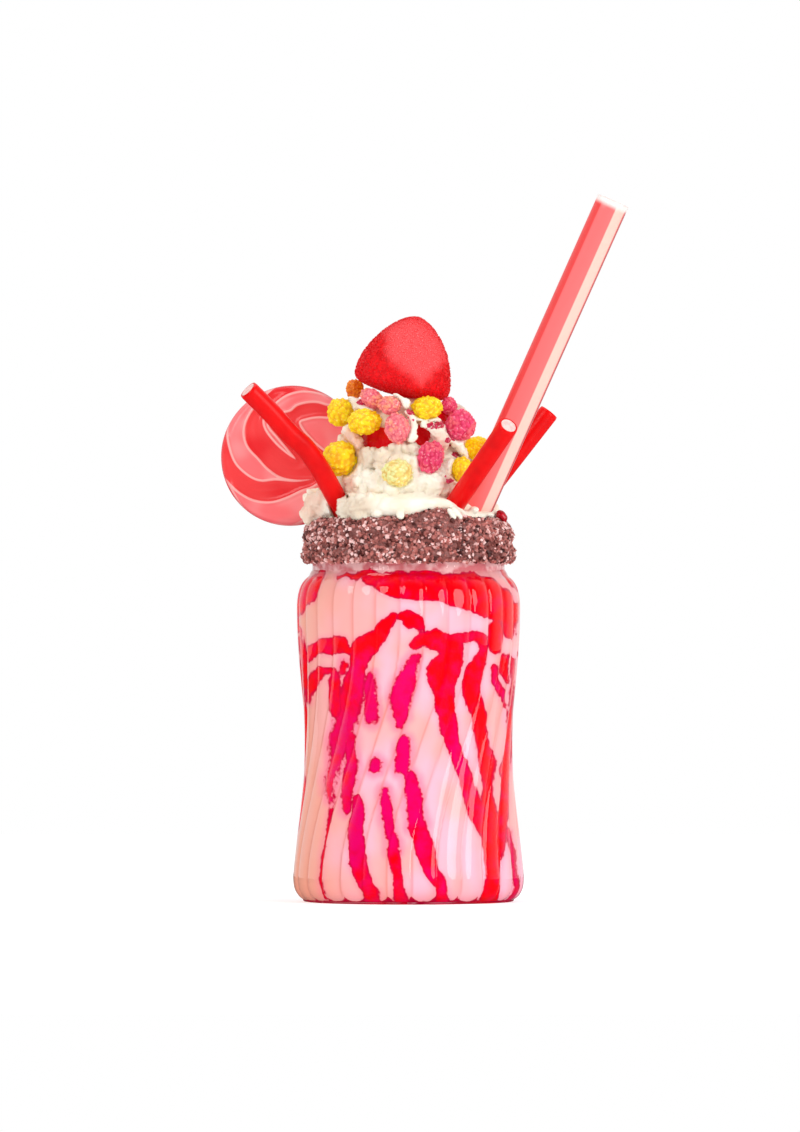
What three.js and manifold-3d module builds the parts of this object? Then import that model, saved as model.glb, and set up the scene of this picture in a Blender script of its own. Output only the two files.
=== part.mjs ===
// A strawberry milkshake in a fluted glass jar, heaped with whipped cream and sugared clusters,
// with a foam strawberry, a lollipop, three filled pencils of liquorice and a wide straw.
// Millimetres, +Z up, -Y towards the viewer, origin at the centre of the jar's foot.
import * as THREE from "three";
import { mergeVertices } from "three/addons/utils/BufferGeometryUtils.js";
import Module from "manifold-3d";

const wasm = await Module();
wasm.setup();

// Driving dimensions
const GAP = 0.3; // clearance between pieces that touch

const RIM_Z = 136; // top of the jar's glass rim
const RIM_ROUND = 1.4; // bevel round the rim's outer edge
const NECK_R = 34.6;
const NECK_Z = 119.4; // where the shoulder meets the neck
const SHOULDER_R = 40.2;
const SHOULDER_Z = 106;
const WAIST_R = 37.4;
const WAIST_Z = 57;
const BELLY_R = 41.6; // widest, just above the foot
const BELLY_Z = 9;
const FOOT_R = 36.4;
const WALL = 3.2; // glass, measured from the crown of a flute
const FLOOR_Z = 3; // inside floor of the jar
const MOUTH_R = NECK_R - WALL;

const FLUTES = 28;
const FLUTE_DEPTH = 0.95;
const FLUTE_TWIST = -32; // degrees that the flutes turn, from the shoulder down to the foot
const FLUTE_PHASE = -4.9; // degrees from the front to the nearest seam, at the shoulder

const DRINK_Z = 128; // level of the milkshake under the cream

const CRUMB_BUMP = 0.55; // how far the crumbs stand out or in
const CRUMB_TOP_Z = 138.8;

const COILS = 3; // turns of piped cream, from the rim to the top of the heap
const COIL_DEPTH = 2.6;
const RIDGES = 9; // ridges that the star nozzle leaves round the heap
const RIDGE_DEPTH = 1;
// Where the heap swells or dips: bearing and its spread in degrees, height and its spread, and reach
const LOBES = [
  { turn: -80, spread: 24, z: 143.5, rise: 5, reach: 4.5 },
  { turn: -75, spread: 38, z: 178, rise: 5, reach: 4.5 },
  { turn: 57, spread: 26, z: 145.5, rise: 4.5, reach: -6 },
];

const STRAW_R = 6;
const STRAW_WALL = 0.6;
const STRAW_LENGTH = 246;
const STRAW_MOUTH = vector(73.4, -17.5, 251.7);
const STRAW_AT_RIM = vector(23, -7.5, 138.8);

const PENCIL_R = 3.7;
const PENCIL_SKIN = 0.75;

const LOLLIPOP_R = 25.7;
const LOLLIPOP_THICK = 8.4;
const LOLLIPOP_CENTRE = vector(-42.4, 18, 160.7);
const SWIRL_RIM = [12, 48, 125, 163, 202, 290, 306, 346, 372]; // where the arms meet the rim, degrees
const SWIRL_SWEEP = 200; // degrees that an arm turns on its way to the middle
const SWIRL_RELIEF = 0.7;
const STICK_R = 2;
const STICK_END = vector(2, 5.5, 113);

const BERRY_R = 17.5;
const BERRY_FOOT = 5; // from the widest ring down to the foot
const BERRY_CROWN = 24.3; // from the widest ring up to the tip
const BERRY_LEAN = 13.8; // degrees to the right
const BERRY_CENTRE = vector(-2.3, -2, 186.9); // centre of the widest ring

const { degToRad, smoothstep, lerp } = THREE.MathUtils;

function vector(x, y, z) {
  return new THREE.Vector3(x, y, z);
}

function flat(x, y) {
  return new THREE.Vector2(x, y);
}

// A repeatable run of numbers from -1 to 1.
function seededJitter(seed) {
  let state = seed;
  return () => {
    state = (state * 1664525 + 1013904223) % 4294967296;
    return state / 2147483648 - 1;
  };
}

// Keeps the positions alone, joins the vertices that coincide and drops the faces without area.
function weld(geometry) {
  const bare = new THREE.BufferGeometry();
  bare.setAttribute("position", geometry.getAttribute("position").clone());
  if (geometry.index) bare.setIndex(geometry.index.clone());
  const merged = mergeVertices(bare, 1e-3);
  const corners = merged.index.array;
  const kept = [];
  for (let i = 0; i < corners.length; i += 3) {
    const [a, b, c] = corners.slice(i, i + 3);
    if (a !== b && b !== c && c !== a) kept.push(a, b, c);
  }
  merged.setIndex(kept);
  return merged;
}

// Moves every vertex with a function that changes the point it is given.
function reshape(geometry, move) {
  const positions = geometry.getAttribute("position");
  const point = vector(0, 0, 0);
  for (let i = 0; i < positions.count; i++) {
    point.fromBufferAttribute(positions, i);
    move(point);
    positions.setXYZ(i, point.x, point.y, point.z);
  }
  return geometry;
}

function moveOut(point, distance) {
  const scale = 1 + distance / Math.hypot(point.x, point.y);
  point.x *= scale;
  point.y *= scale;
}

// Angle round from the front to the right.
const bearing = (point) => Math.atan2(point.x, -point.y);

// Turns a profile of (radius, height) points about the vertical axis.
function turned(profile, segments) {
  return weld(new THREE.LatheGeometry(profile, segments).rotateX(Math.PI / 2));
}

// Round bar along a route, or a pipe where it has a bore. It can be made longer at both ends.
function bar({ route, radius, bore = 0, overrun = 0, sides = 10, steps = 1 }) {
  const points = route.map((point) => point.clone());
  const last = points.length - 1;
  const inwards = points[0].clone().sub(points[1]).normalize();
  const outwards = points[last].clone().sub(points[last - 1]).normalize();
  points[0].addScaledVector(inwards, overrun);
  points[last].addScaledVector(outwards, overrun);
  const section = new THREE.Shape().absarc(0, 0, radius, 0, 2 * Math.PI);
  if (bore) section.holes.push(new THREE.Path().absarc(0, 0, bore, 0, 2 * Math.PI));
  const extrudePath = new THREE.CatmullRomCurve3(points);
  return weld(new THREE.ExtrudeGeometry(section, { curveSegments: sides / 2, steps, extrudePath }));
}

function toSolid(geometry) {
  const welded = weld(geometry);
  const mesh = new wasm.Mesh({
    numProp: 3,
    vertProperties: new Float32Array(welded.getAttribute("position").array),
    triVerts: new Uint32Array(welded.index.array),
  });
  return new wasm.Manifold(mesh);
}

function toGeometry(solid) {
  const { vertProperties, triVerts } = solid.getMesh();
  const geometry = new THREE.BufferGeometry();
  geometry.setAttribute("position", new THREE.Float32BufferAttribute([...vertProperties], 3));
  geometry.setIndex([...triVerts]);
  return geometry;
}

// The geometry less the cutters. Scraps that a cut leaves loose are dropped.
function carved(geometry, cutters) {
  const cut = cutters.reduce((solid, cutter) => solid.subtract(toSolid(cutter)), toSolid(geometry));
  const bodies = cut.decompose().sort((a, b) => b.volume() - a.volume());
  return toGeometry(bodies[0]);
}

// Outline of the jar, or of its cavity where an inset is given, from the axis up to the mouth.
function jarOutline(inset, floorZ, topZ, rows) {
  const radii = [FOOT_R, BELLY_R, WAIST_R, SHOULDER_R, NECK_R];
  const [foot, belly, waist, shoulder, neck] = radii.map((radius) => radius - inset);
  const shoulderZ = SHOULDER_Z - inset * 0.6;
  const neckZ = NECK_Z - inset * 0.6;
  const heelZ = lerp(floorZ, BELLY_Z, 0.3);
  const archZ = shoulderZ + 8.5;
  const curve = (...points) => new THREE.CubicBezierCurve(...points);
  const stretches = [
    curve(flat(foot, floorZ), flat(belly - 2.4, floorZ), flat(belly, heelZ), flat(belly, BELLY_Z)),
    curve(flat(belly, BELLY_Z), flat(belly - 1.4, 26), flat(waist, 38), flat(waist, WAIST_Z)),
    curve(flat(waist, WAIST_Z), flat(waist, 74), flat(shoulder, 86), flat(shoulder, shoulderZ)),
    curve(flat(shoulder, shoulderZ), flat(shoulder, archZ), flat(neck + 2, neckZ - 2), flat(neck, neckZ)),
  ];
  const points = stretches.flatMap((stretch, i) => stretch.getPoints(rows).slice(i ? 1 : 0));
  const rim = [flat(neck, topZ - RIM_ROUND), flat(neck - RIM_ROUND, topZ)];
  return [flat(0, floorZ), ...points, ...rim, flat(0, topZ)];
}

// Rounds the crowns between sharp seams, and turns the seams on the way down the body.
function flute(point) {
  if (Math.hypot(point.x, point.y) < 1) return;
  const crown = Math.abs(Math.sin((bearing(point) * FLUTES) / 2));
  const ends = smoothstep(point.z, 0.4, 4) * (1 - smoothstep(point.z, SHOULDER_Z + 6, NECK_Z));
  moveOut(point, -FLUTE_DEPTH * ends * (1 - crown));
  const twist = FLUTE_TWIST * (1 - smoothstep(point.z, 12, 96));
  point.applyAxisAngle(vector(0, 0, 1), degToRad(FLUTE_PHASE + twist));
}

function jarGlass() {
  const outside = reshape(turned(jarOutline(0, 0, RIM_Z, 4), FLUTES * 3), flute);
  return carved(outside, [turned(jarOutline(WALL, FLOOR_Z, RIM_Z + 5, 2), 32)]);
}

function milkshake(cutters) {
  return carved(turned(jarOutline(WALL + GAP, FLOOR_Z + GAP, DRINK_Z, 2), 32), cutters);
}

// Ring of crumbs round the rim: two soft bands that lap the glass outside and on top.
function crumbCoating() {
  const innerR = MOUTH_R + 0.5;
  const againstR = NECK_R + GAP;
  const skin = new THREE.SplineCurve([
    flat(37.4, 122.4),
    flat(38.5, 125.2),
    flat(37.3, 129),
    flat(37.5, 131.8),
    flat(36.4, 135),
    flat(34, CRUMB_TOP_Z - 1),
    flat(innerR, CRUMB_TOP_Z - 0.5),
  ]);
  const overRim = RIM_Z + GAP;
  const bevelR = againstR - RIM_ROUND;
  const laps = [flat(innerR, overRim), flat(bevelR, overRim), flat(againstR, overRim - RIM_ROUND)];
  const profile = [...skin.getPoints(9), ...laps, flat(againstR, 123)];
  const jitter = seededJitter(7);
  return reshape(turned([...profile, profile[0].clone()], 48), (point) => {
    const free = Math.hypot(point.x, point.y) > againstR + 0.5;
    if (free) moveOut(point, jitter() * CRUMB_BUMP);
  });
}

// Heap of whipped cream: its outline, then the coils and ridges that the nozzle leaves.
const HEAP = new THREE.SplineCurve([
  flat(33.6, 139.2),
  flat(33.4, 143.5),
  flat(27, 148.5),
  flat(24.6, 154),
  flat(23.7, 161),
  flat(22.4, 169),
  flat(19, 176),
  flat(12, 180.6),
  flat(0, 181.6),
]).getPoints(12);
const HEAP_BASE_Z = HEAP[0].y;
const HEAP_TOP_Z = HEAP[HEAP.length - 1].y;

function heapRadius(z) {
  const above = HEAP.findIndex((point) => point.y > z);
  const [low, high] = [HEAP[above - 1], HEAP[above]];
  return lerp(low.x, high.x, (z - low.y) / (high.y - low.y));
}

function lobes(point) {
  return LOBES.reduce((sum, { turn, spread, z, rise, reach }) => {
    const off = Math.sin((bearing(point) - degToRad(turn)) / 2) * 2;
    return sum + reach * Math.exp(-((off / degToRad(spread)) ** 2) - ((point.z - z) / rise) ** 2);
  }, 0);
}

function pipe(point) {
  if (point.z <= HEAP_BASE_Z || Math.hypot(point.x, point.y) < 3) return;
  const rise = (point.z - HEAP_BASE_Z) / (HEAP_TOP_Z - HEAP_BASE_Z);
  const coil = Math.abs(Math.sin(Math.PI * COILS * rise + bearing(point) / 2)) - 1;
  const ridge = Math.cos(RIDGES * bearing(point) + 9 * rise);
  moveOut(point, (1 - rise / 2) * (COIL_DEPTH * coil + RIDGE_DEPTH * ridge) + lobes(point));
}

function whippedCream(cutters) {
  const plugR = MOUTH_R - GAP;
  const plug = [flat(0, DRINK_Z + GAP), flat(plugR, DRINK_Z + GAP), flat(plugR, HEAP_BASE_Z)];
  return carved(reshape(turned([...plug, ...HEAP], 36), pipe), cutters);
}

// Straw and pencils: their routes, from the foot in the drink up to the open end
const strawRise = STRAW_MOUTH.clone().sub(STRAW_AT_RIM).normalize();
const STRAW = {
  route: [STRAW_MOUTH.clone().addScaledVector(strawRise, -STRAW_LENGTH), STRAW_MOUTH],
  radius: STRAW_R,
  sides: 16,
};
const PENCILS = {
  left: {
    route: [
      vector(-18.8, -7.5, 115),
      vector(-21, -9.5, 131),
      vector(-22.9, -11, 138.9),
      vector(-26.3, -15, 146),
      vector(-32, -21.5, 156.1),
      vector(-37.1, -25.5, 163.2),
      vector(-42.7, -29, 168.3),
      vector(-49, -32.5, 175.4),
      vector(-57.3, -36, 183.7),
    ],
    steps: 9,
  },
  front: { route: [vector(3.1, -1.9, 123), vector(35.5, -50, 170.7)], steps: 1 },
  back: { route: [vector(9.1, 7.5, 123), vector(50.8, 16, 176.4)], steps: 1 },
};

// Lollipop: a round slab whose arms swirl in from the rim, on a paper stick
const stickFall = STICK_END.clone().sub(LOLLIPOP_CENTRE).normalize();

function lollipop(grow) {
  const half = LOLLIPOP_THICK / 2 + grow;
  const radius = LOLLIPOP_R + grow;
  const round = half * 0.8; // how far the rounded edge reaches in
  const edge = new THREE.EllipseCurve(radius - round, 0, round, half, -Math.PI / 2, Math.PI / 2);
  const inner = [0.3, 0.6, 0.85].map((share) => (radius - round) * share);
  const back = inner.map((r) => flat(r, -half));
  const front = inner.map((r) => flat(r, half)).reverse();
  const profile = [flat(0, -half), ...back, ...edge.getPoints(5), ...front, flat(0, half)];
  const arms = SWIRL_RIM.length - 1;
  const face = vector(0, -1, 0).projectOnPlane(stickFall).normalize();
  const up = vector(0, 0, 1).projectOnPlane(face).normalize();
  const across = vector(0, 0, 0).crossVectors(up, face);
  return reshape(turned(profile, arms * 4), (point) => {
    const r = Math.hypot(point.x, point.y);
    const place = ((Math.atan2(point.y, point.x) / (2 * Math.PI) + 1) % 1) * arms;
    const arm = Math.min(arms - 1, Math.floor(place + 1e-6));
    const atRim = lerp(SWIRL_RIM[arm], SWIRL_RIM[arm + 1], place - arm);
    const angle = degToRad(atRim + SWIRL_SWEEP * (1 - r / radius));
    const raised = arm % 2 ? 0 : SWIRL_RELIEF * Math.sin(Math.PI * (place - arm));
    const fade = smoothstep(r / radius, 0.1, 0.4) * (1 - smoothstep(r / radius, 0.93, 1));
    const height = point.z + Math.sign(point.z) * raised * fade;
    point.copy(LOLLIPOP_CENTRE).addScaledVector(face, height);
    point.addScaledVector(across, r * Math.cos(angle)).addScaledVector(up, r * Math.sin(angle));
  });
}

const STICK = {
  route: [LOLLIPOP_CENTRE.clone().addScaledVector(stickFall, LOLLIPOP_R + GAP), STICK_END],
  radius: STICK_R,
};

// Foam strawberry: a shallow rounded foot below its widest ring, and a long shoulder up to a blunt tip
function strawberry(grow) {
  const quarter = (steps) => [...Array(steps + 1).keys()].map((i) => Math.sin((Math.PI * i) / (2 * steps)));
  const ring = (share, fullness, power) => (BERRY_R + grow) * (1 - share ** fullness) ** power;
  const below = quarter(4).map((share) => flat(ring(share, 2.4, 1 / 2.4), -(BERRY_FOOT + grow) * share));
  const above = quarter(7).map((share) => flat(ring(share, 1.8, 0.6), (BERRY_CROWN + grow) * share));
  const { x, y, z } = BERRY_CENTRE;
  const profile = [...below.reverse(), ...above.slice(1)];
  return turned(profile, 18).rotateY(degToRad(BERRY_LEAN)).translate(x, y, z);
}

// Sugared clusters. Those in front are placed by how far right and how high they sit, and those
// on the far side by their bearing. Each rests on the heap, unless it says how far back it lies.
const CLUSTERS = {
  yellow_1: { right: -24.6, z: 176.3, wide: 4.7, tall: 5.4, back: -5 },
  yellow_2: { right: -15.9, z: 172.4, wide: 6.4, tall: 4.8 },
  yellow_3: { right: -24.8, z: 159.4, wide: 6.7, tall: 6.9, back: -11 },
  yellow_4: { right: 6.5, z: 177.6, wide: 5.9, tall: 4.3 },
  yellow_5: { right: 24.6, z: 163.3, wide: 4.8, tall: 4.6 },
  yellow_6: { right: 19.3, z: 155.1, wide: 4.1, tall: 4.8 },
  orange_1: { right: -19.4, z: 184.6, wide: 3.4, tall: 3.7, back: 5 },
  pink_1: { right: -13.3, z: 180.9, wide: 4.7, tall: 3.4, tilt: 28, back: -13.5 },
  pink_2: { right: -6.7, z: 178.5, wide: 4.3, tall: 3.5, back: -19 },
  pink_3: { right: -4, z: 170.2, wide: 4.6, tall: 6, tilt: -18 },
  magenta_1: { right: 14.6, z: 178.3, wide: 3.1, tall: 3.3 },
  magenta_2: { right: 18.7, z: 171.3, wide: 5.6, tall: 5.8 },
  magenta_3: { right: 7.9, z: 159.8, wide: 4.6, tall: 6.2, tilt: 14 },
  green_1: { right: -3.8, z: 154.1, wide: 6, tall: 5.2 },
  yellow_7: { bearing: 138, z: 176, wide: 5, tall: 4.8 },
  magenta_4: { bearing: 128, z: 163, wide: 4.9, tall: 5.3 },
  yellow_8: { bearing: 162, z: 172, wide: 5.4, tall: 5 },
  pink_4: { bearing: 186, z: 162, wide: 5, tall: 4.4 },
  orange_2: { bearing: 192, z: 177, wide: 4, tall: 3.6 },
  yellow_9: { bearing: 212, z: 156, wide: 6, tall: 5.4 },
  magenta_5: { bearing: 203, z: 168, wide: 5, tall: 5.2 },
  pink_5: { bearing: 158, z: 152, wide: 4.4, tall: 4 },
};

function clusterPlace({ right, bearing: turn, back, z, wide }) {
  const out = heapRadius(Math.min(z, HEAP_TOP_Z - 1)) + wide * 0.25;
  if (turn !== undefined) return vector(out * Math.sin(degToRad(turn)), -out * Math.cos(degToRad(turn)), z);
  const seated = -Math.sqrt(Math.max(0, out * out - right * right));
  return vector(right, back ?? seated, z);
}

function clusterShape(cluster, seed, grow) {
  const jitter = seededJitter(seed);
  const place = clusterPlace(cluster);
  return reshape(weld(new THREE.IcosahedronGeometry(1, 1)), (point) => {
    const bump = 1 + jitter() * 0.08;
    const [wide, tall] = [cluster.wide, cluster.tall].map((size) => size * bump + grow);
    point.multiply(vector(wide, wide, tall));
    point.applyAxisAngle(vector(0, 1, 0), degToRad(cluster.tilt ?? 0)).add(place);
  });
}

const clusters = Object.entries(CLUSTERS).map(([name, cluster], index) => ({
  name: `cluster_${name}`,
  shape: (grow) => clusterShape(cluster, 40 + index, grow),
}));

// Cutters, each its piece with the clearance: what stands in the drink and the cream, and what
// rests on the cream. The drink fills the straw too, so it is cut round the straw's wall alone.
const cutter = (piece, bore = 0) => bar({ ...piece, radius: piece.radius + GAP, bore, overrun: GAP });
const pencils = Object.values(PENCILS).map((pencil) => ({ ...pencil, radius: PENCIL_R }));
const standing = [STICK, ...pencils].map((piece) => cutter(piece));
const strawWall = cutter(STRAW, STRAW_R - STRAW_WALL - GAP);
const resting = [lollipop(GAP), strawberry(GAP), ...clusters.map(({ shape }) => shape(GAP))];

const object = new THREE.Group();

function addPiece(name, geometry, color, roughness) {
  const mesh = new THREE.Mesh(geometry, new THREE.MeshStandardMaterial({ color, roughness, metalness: 0 }));
  mesh.name = name;
  object.add(mesh);
}

addPiece("jar_glass", jarGlass(), 0xf2f4f4, 0.05);
addPiece("milkshake", milkshake([strawWall, ...standing]), 0xf7b9bd, 0.35);
addPiece("crumb_coating", crumbCoating(), 0xb0706c, 0.85);
addPiece("whipped_cream", whippedCream([cutter(STRAW), ...standing, ...resting]), 0xfdf6e6, 0.55);
addPiece("foam_strawberry", strawberry(0), 0xee2030, 0.6);

const COLOURS = { yellow: 0xf2c918, orange: 0xe07a12, pink: 0xe88a9a, magenta: 0xd9487c, green: 0xdfe09a };
for (const { name, shape } of clusters) addPiece(name, shape(0), COLOURS[name.split("_")[1]], 0.6);

addPiece("straw", bar({ ...STRAW, bore: STRAW_R - STRAW_WALL }), 0xfa8488, 0.3);

const fillingR = PENCIL_R - PENCIL_SKIN - GAP;
for (const [side, pencil] of Object.entries(PENCILS)) {
  addPiece(`pencil_${side}_skin`, bar({ ...pencil, radius: PENCIL_R, bore: fillingR + GAP }), 0xe8121c, 0.3);
  addPiece(`pencil_${side}_filling`, bar({ ...pencil, radius: fillingR }), 0xfbe9e2, 0.5);
}

addPiece("lollipop", lollipop(0), 0xf65a60, 0.2);
addPiece("lollipop_stick", bar(STICK), 0xf7f3ec, 0.6);

export default object;
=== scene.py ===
"""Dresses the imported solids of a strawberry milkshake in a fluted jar.

Lengths are in millimetres until a mesh is made, and in metres in Blender. +Z is up, -Y faces the viewer and
+X is to the viewer's right. A bearing is an angle round the jar's axis, from the front towards the right.
"""

from __future__ import annotations

import itertools
import logging
import math
from collections.abc import Sequence
from dataclasses import dataclass
from enum import Enum

import bmesh
import bpy
import numpy as np
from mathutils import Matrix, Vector

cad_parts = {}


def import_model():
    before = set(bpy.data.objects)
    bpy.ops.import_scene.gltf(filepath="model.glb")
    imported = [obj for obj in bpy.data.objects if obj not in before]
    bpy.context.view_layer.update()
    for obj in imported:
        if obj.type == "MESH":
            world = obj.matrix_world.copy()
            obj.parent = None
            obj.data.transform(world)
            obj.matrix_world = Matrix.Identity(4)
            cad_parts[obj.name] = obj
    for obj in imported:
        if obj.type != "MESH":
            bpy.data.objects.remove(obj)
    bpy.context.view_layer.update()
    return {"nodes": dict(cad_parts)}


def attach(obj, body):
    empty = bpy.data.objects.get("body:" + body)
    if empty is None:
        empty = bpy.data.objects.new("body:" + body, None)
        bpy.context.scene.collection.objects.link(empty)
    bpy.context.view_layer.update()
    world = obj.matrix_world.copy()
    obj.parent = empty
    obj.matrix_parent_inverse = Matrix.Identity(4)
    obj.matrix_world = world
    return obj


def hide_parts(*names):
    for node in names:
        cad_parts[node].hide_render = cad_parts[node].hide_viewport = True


log = logging.getLogger("milkshake")

MM = 0.001
BODY = "root"

Points = np.ndarray
Socket = bpy.types.NodeSocket
Tint = tuple[float, float, float, float]
Triple = tuple[float, float, float]
Rows = tuple[tuple[float, ...], ...]

# How much glass bends light.
GLASS_BEND = 1.45

# Large odd numbers that scatter the noise's lattice, and the mask that keeps their last 31 bits.
HASH_AXES = np.array([374761393, 668265263, 974634777])
HASH_SEED = 1274126177
HASH_STIR = 1103515245
HASH_MASK = 0x7FFFFFFF


def tint(red: int, green: int, blue: int) -> Tint:
    """Linear colour of a display colour given from 0 to 255."""
    shares = [channel / 255 for channel in (red, green, blue)]
    linear = [s / 12.92 if s <= 0.04045 else ((s + 0.055) / 1.055) ** 2.4 for s in shares]
    return (linear[0], linear[1], linear[2], 1.0)


def smoothstep(value: Points, low: float, high: float) -> Points:
    """Soft step from 0 at low to 1 at high."""
    share = np.clip((value - low) / (high - low), 0, 1)
    return share * share * (3 - 2 * share)


def lattice_noise(points: Points, seed: int) -> Points:
    """Smooth noise over space.

    Args:
        points: Places, one a row, in units of the noise's cell.
        seed: Number that picks one noise out of many.

    Returns:
        A value from -1 to 1 for each place.
    """
    cell = np.floor(points).astype(np.int64)
    ease = points - cell
    ease = ease * ease * (3 - 2 * ease)
    total = np.zeros(len(points))
    for corner in itertools.product((0, 1), repeat=3):
        key = ((cell + corner) @ HASH_AXES + seed * HASH_SEED) & HASH_MASK
        key = ((key ^ (key >> 13)) * HASH_STIR) & HASH_MASK
        value = (key ^ (key >> 16)) / (HASH_MASK // 2) - 1
        total += value * np.prod(np.where(corner, ease, 1 - ease), axis=1)
    return total


def layered_noise(points: Points, size: float, seed: int) -> Points:
    """Noise in two layers, the second of half the size and half the strength of the first.

    Args:
        points: Places in millimetres, one a row.
        size: Size of the largest lumps in millimetres.
        seed: Number that picks the noise.

    Returns:
        A value from about -1 to 1 for each place.
    """
    coarse = lattice_noise(points / size, seed)
    fine = lattice_noise(points * 2 / size + 17.3, seed + 1)
    return (coarse + fine / 2) / 1.5


def noises(points: Points, *given: tuple[float, float, int]) -> Points:
    """Sum of layered noises, each given by its strength and size in millimetres and its seed."""
    return sum(strength * layered_noise(points, size, seed) for strength, size, seed in given)


def bezier(corners: Sequence[tuple[float, float]], count: int) -> Points:
    """Points along a cubic curve that is given by its four corners."""
    t = np.linspace(0, 1, count)[:, None]
    p = np.array(corners, float)
    return (1 - t) ** 3 * p[0] + 3 * t * (1 - t) ** 2 * p[1] + 3 * t**2 * (1 - t) * p[2] + t**3 * p[3]


def smooth_path(points: Sequence[Sequence[float]], count: int) -> Points:
    """Evenly spaced points on a smooth curve through the points given.

    Args:
        points: Places that the curve passes through.
        count: How many points come back.

    Returns:
        An array with one place a row.
    """
    p = np.array(points, float)
    if len(p) == 2:
        return p[0] + (p[1] - p[0]) * np.linspace(0, 1, count)[:, None]
    ends = np.vstack([2 * p[0] - p[1], p, 2 * p[-1] - p[-2]])
    fine = []
    for i in range(1, len(ends) - 2):
        t = np.linspace(0, 1, 40, endpoint=False)[:, None]
        a, b, c, d = ends[i - 1 : i + 3]
        bend = (2 * a - 5 * b + 4 * c - d) * t**2 + (3 * b - a - 3 * c + d) * t**3
        fine.append(0.5 * (2 * b + (c - a) * t + bend))
    curve = np.vstack([*fine, p[-1:]])
    steps = np.concatenate([[0], np.cumsum(np.linalg.norm(np.diff(curve, axis=0), axis=1))])
    wanted = np.linspace(0, steps[-1], count)
    return np.stack([np.interp(wanted, steps, curve[:, k]) for k in range(p.shape[1])], axis=1)


def around(radius: Points, height: Points, bearing: Points) -> Points:
    """Places at a radius, a height and a bearing round the jar's axis, in radians."""
    return np.stack([radius * np.sin(bearing), -radius * np.cos(bearing), height + 0 * bearing], axis=-1)


def full_turn(count: int) -> Points:
    """Evenly spaced bearings right round, from 0."""
    return np.linspace(0, 2 * math.pi, count, endpoint=False)


def spread_on_ball(count: int) -> Points:
    """Evenly spread directions."""
    up = 1 - 2 * (np.arange(count) + 0.5) / count
    turn = np.arange(count) * math.pi * (3 - math.sqrt(5))
    across = np.sqrt(1 - up * up)
    return np.stack([across * np.cos(turn), across * np.sin(turn), up], axis=1)


def lean_right(points: Points, degrees: float) -> Points:
    """Points turned about the axis that faces the viewer, their tops to the right."""
    turn = math.radians(degrees)
    x = points[..., 0] * math.cos(turn) + points[..., 2] * math.sin(turn)
    z = points[..., 2] * math.cos(turn) - points[..., 0] * math.sin(turn)
    return np.stack([x, points[..., 1], z], axis=-1)


def directions(points: Points) -> Points:
    """Each row cut or stretched to a length of 1."""
    return points / np.linalg.norm(points, axis=1, keepdims=True)


def in_scene(mesh: bpy.types.Mesh, tags: dict[str, Points], smooth: bool = True) -> bpy.types.Object:
    """Puts a mesh in the scene.

    Args:
        mesh: The mesh, which gives the piece its name.
        tags: Values that the finish reads at each corner, by name.
        smooth: Whether the faces are shaded as one smooth surface.

    Returns:
        The object.
    """
    for tag, values in tags.items():
        layer = mesh.attributes.new(tag, "FLOAT", "POINT")
        layer.data.foreach_set("value", np.asarray(values, np.float32))
    mesh.polygons.foreach_set("use_smooth", np.full(len(mesh.polygons), smooth))
    piece = bpy.data.objects.new(mesh.name, mesh)
    bpy.context.scene.collection.objects.link(piece)
    return piece


def solid(
    name: str,
    points: Points,
    faces: Points,
    tags: dict[str, Points] | None = None,
    smooth: bool = True,
) -> bpy.types.Object:
    """Makes a mesh object out of corners in millimetres and faces, one a row.

    Args:
        name: Name of the piece.
        points: The corners.
        faces: Corner numbers of each face.
        tags: Values that the finish reads at each corner, by name.
        smooth: Whether the faces are shaded as one smooth surface.

    Returns:
        The object, in the scene.
    """
    mesh = bpy.data.meshes.new(name)
    mesh.from_pydata((points * MM).tolist(), [], faces.tolist())
    return in_scene(mesh, tags or {}, smooth)


def corner_values(mesh: bpy.types.Mesh, what: str) -> Points:
    """What a mesh holds for each of its corners under co or normal, one a row."""
    values = np.empty(len(mesh.vertices) * 3)
    mesh.vertices.foreach_get(what, values)
    return values.reshape(-1, 3)


def grid_faces(rows: int, columns: int) -> Points:
    """Quads of a grid that closes on itself from its last column to its first."""
    row, column = np.meshgrid(np.arange(rows - 1) * columns, np.arange(columns), indexing="ij")
    after = (column + 1) % columns
    above = row + columns
    return np.stack([row + column, row + after, above + after, above + column], axis=-1).reshape(-1, 4)


def rings_to_shell(rings: Points) -> tuple[Points, Points]:
    """Corners and faces of a shell through rings of points.

    Args:
        rings: Array of rows, columns and coordinates. A first or last ring of no size closes to a pole.

    Returns:
        The corners, one a row, and the faces.
    """
    rows, columns = rings.shape[:2]
    return rings.reshape(-1, 3), grid_faces(rows, columns)


def frames_along(path: Points) -> tuple[Points, Points]:
    """Two directions square to a path at each of its points, with no twist."""
    ahead = np.gradient(path, axis=0)
    ahead /= np.linalg.norm(ahead, axis=1, keepdims=True)
    side = np.cross(ahead[0], [0.0, 1.0, 0.0])
    sides = []
    for direction in ahead:
        side = side - direction * np.dot(side, direction)
        side /= np.linalg.norm(side)
        sides.append(side)
    return np.array(sides), np.cross(ahead, np.array(sides))


def rings_along(path: Points, radii: Points, columns: int) -> Points:
    """Round rings along a path.

    Args:
        path: Centres of the rings.
        radii: Radius of each ring, or of each point of each ring.
        columns: Points in a ring.

    Returns:
        Array of rings, points and coordinates.
    """
    side, other = frames_along(path)
    turn = full_turn(columns)
    radii = np.broadcast_to(np.asarray(radii, float).reshape(len(path), -1), (len(path), columns))
    across = radii * np.cos(turn)
    over = radii * np.sin(turn)
    return path[:, None] + across[..., None] * side[:, None] + over[..., None] * other[:, None]


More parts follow.
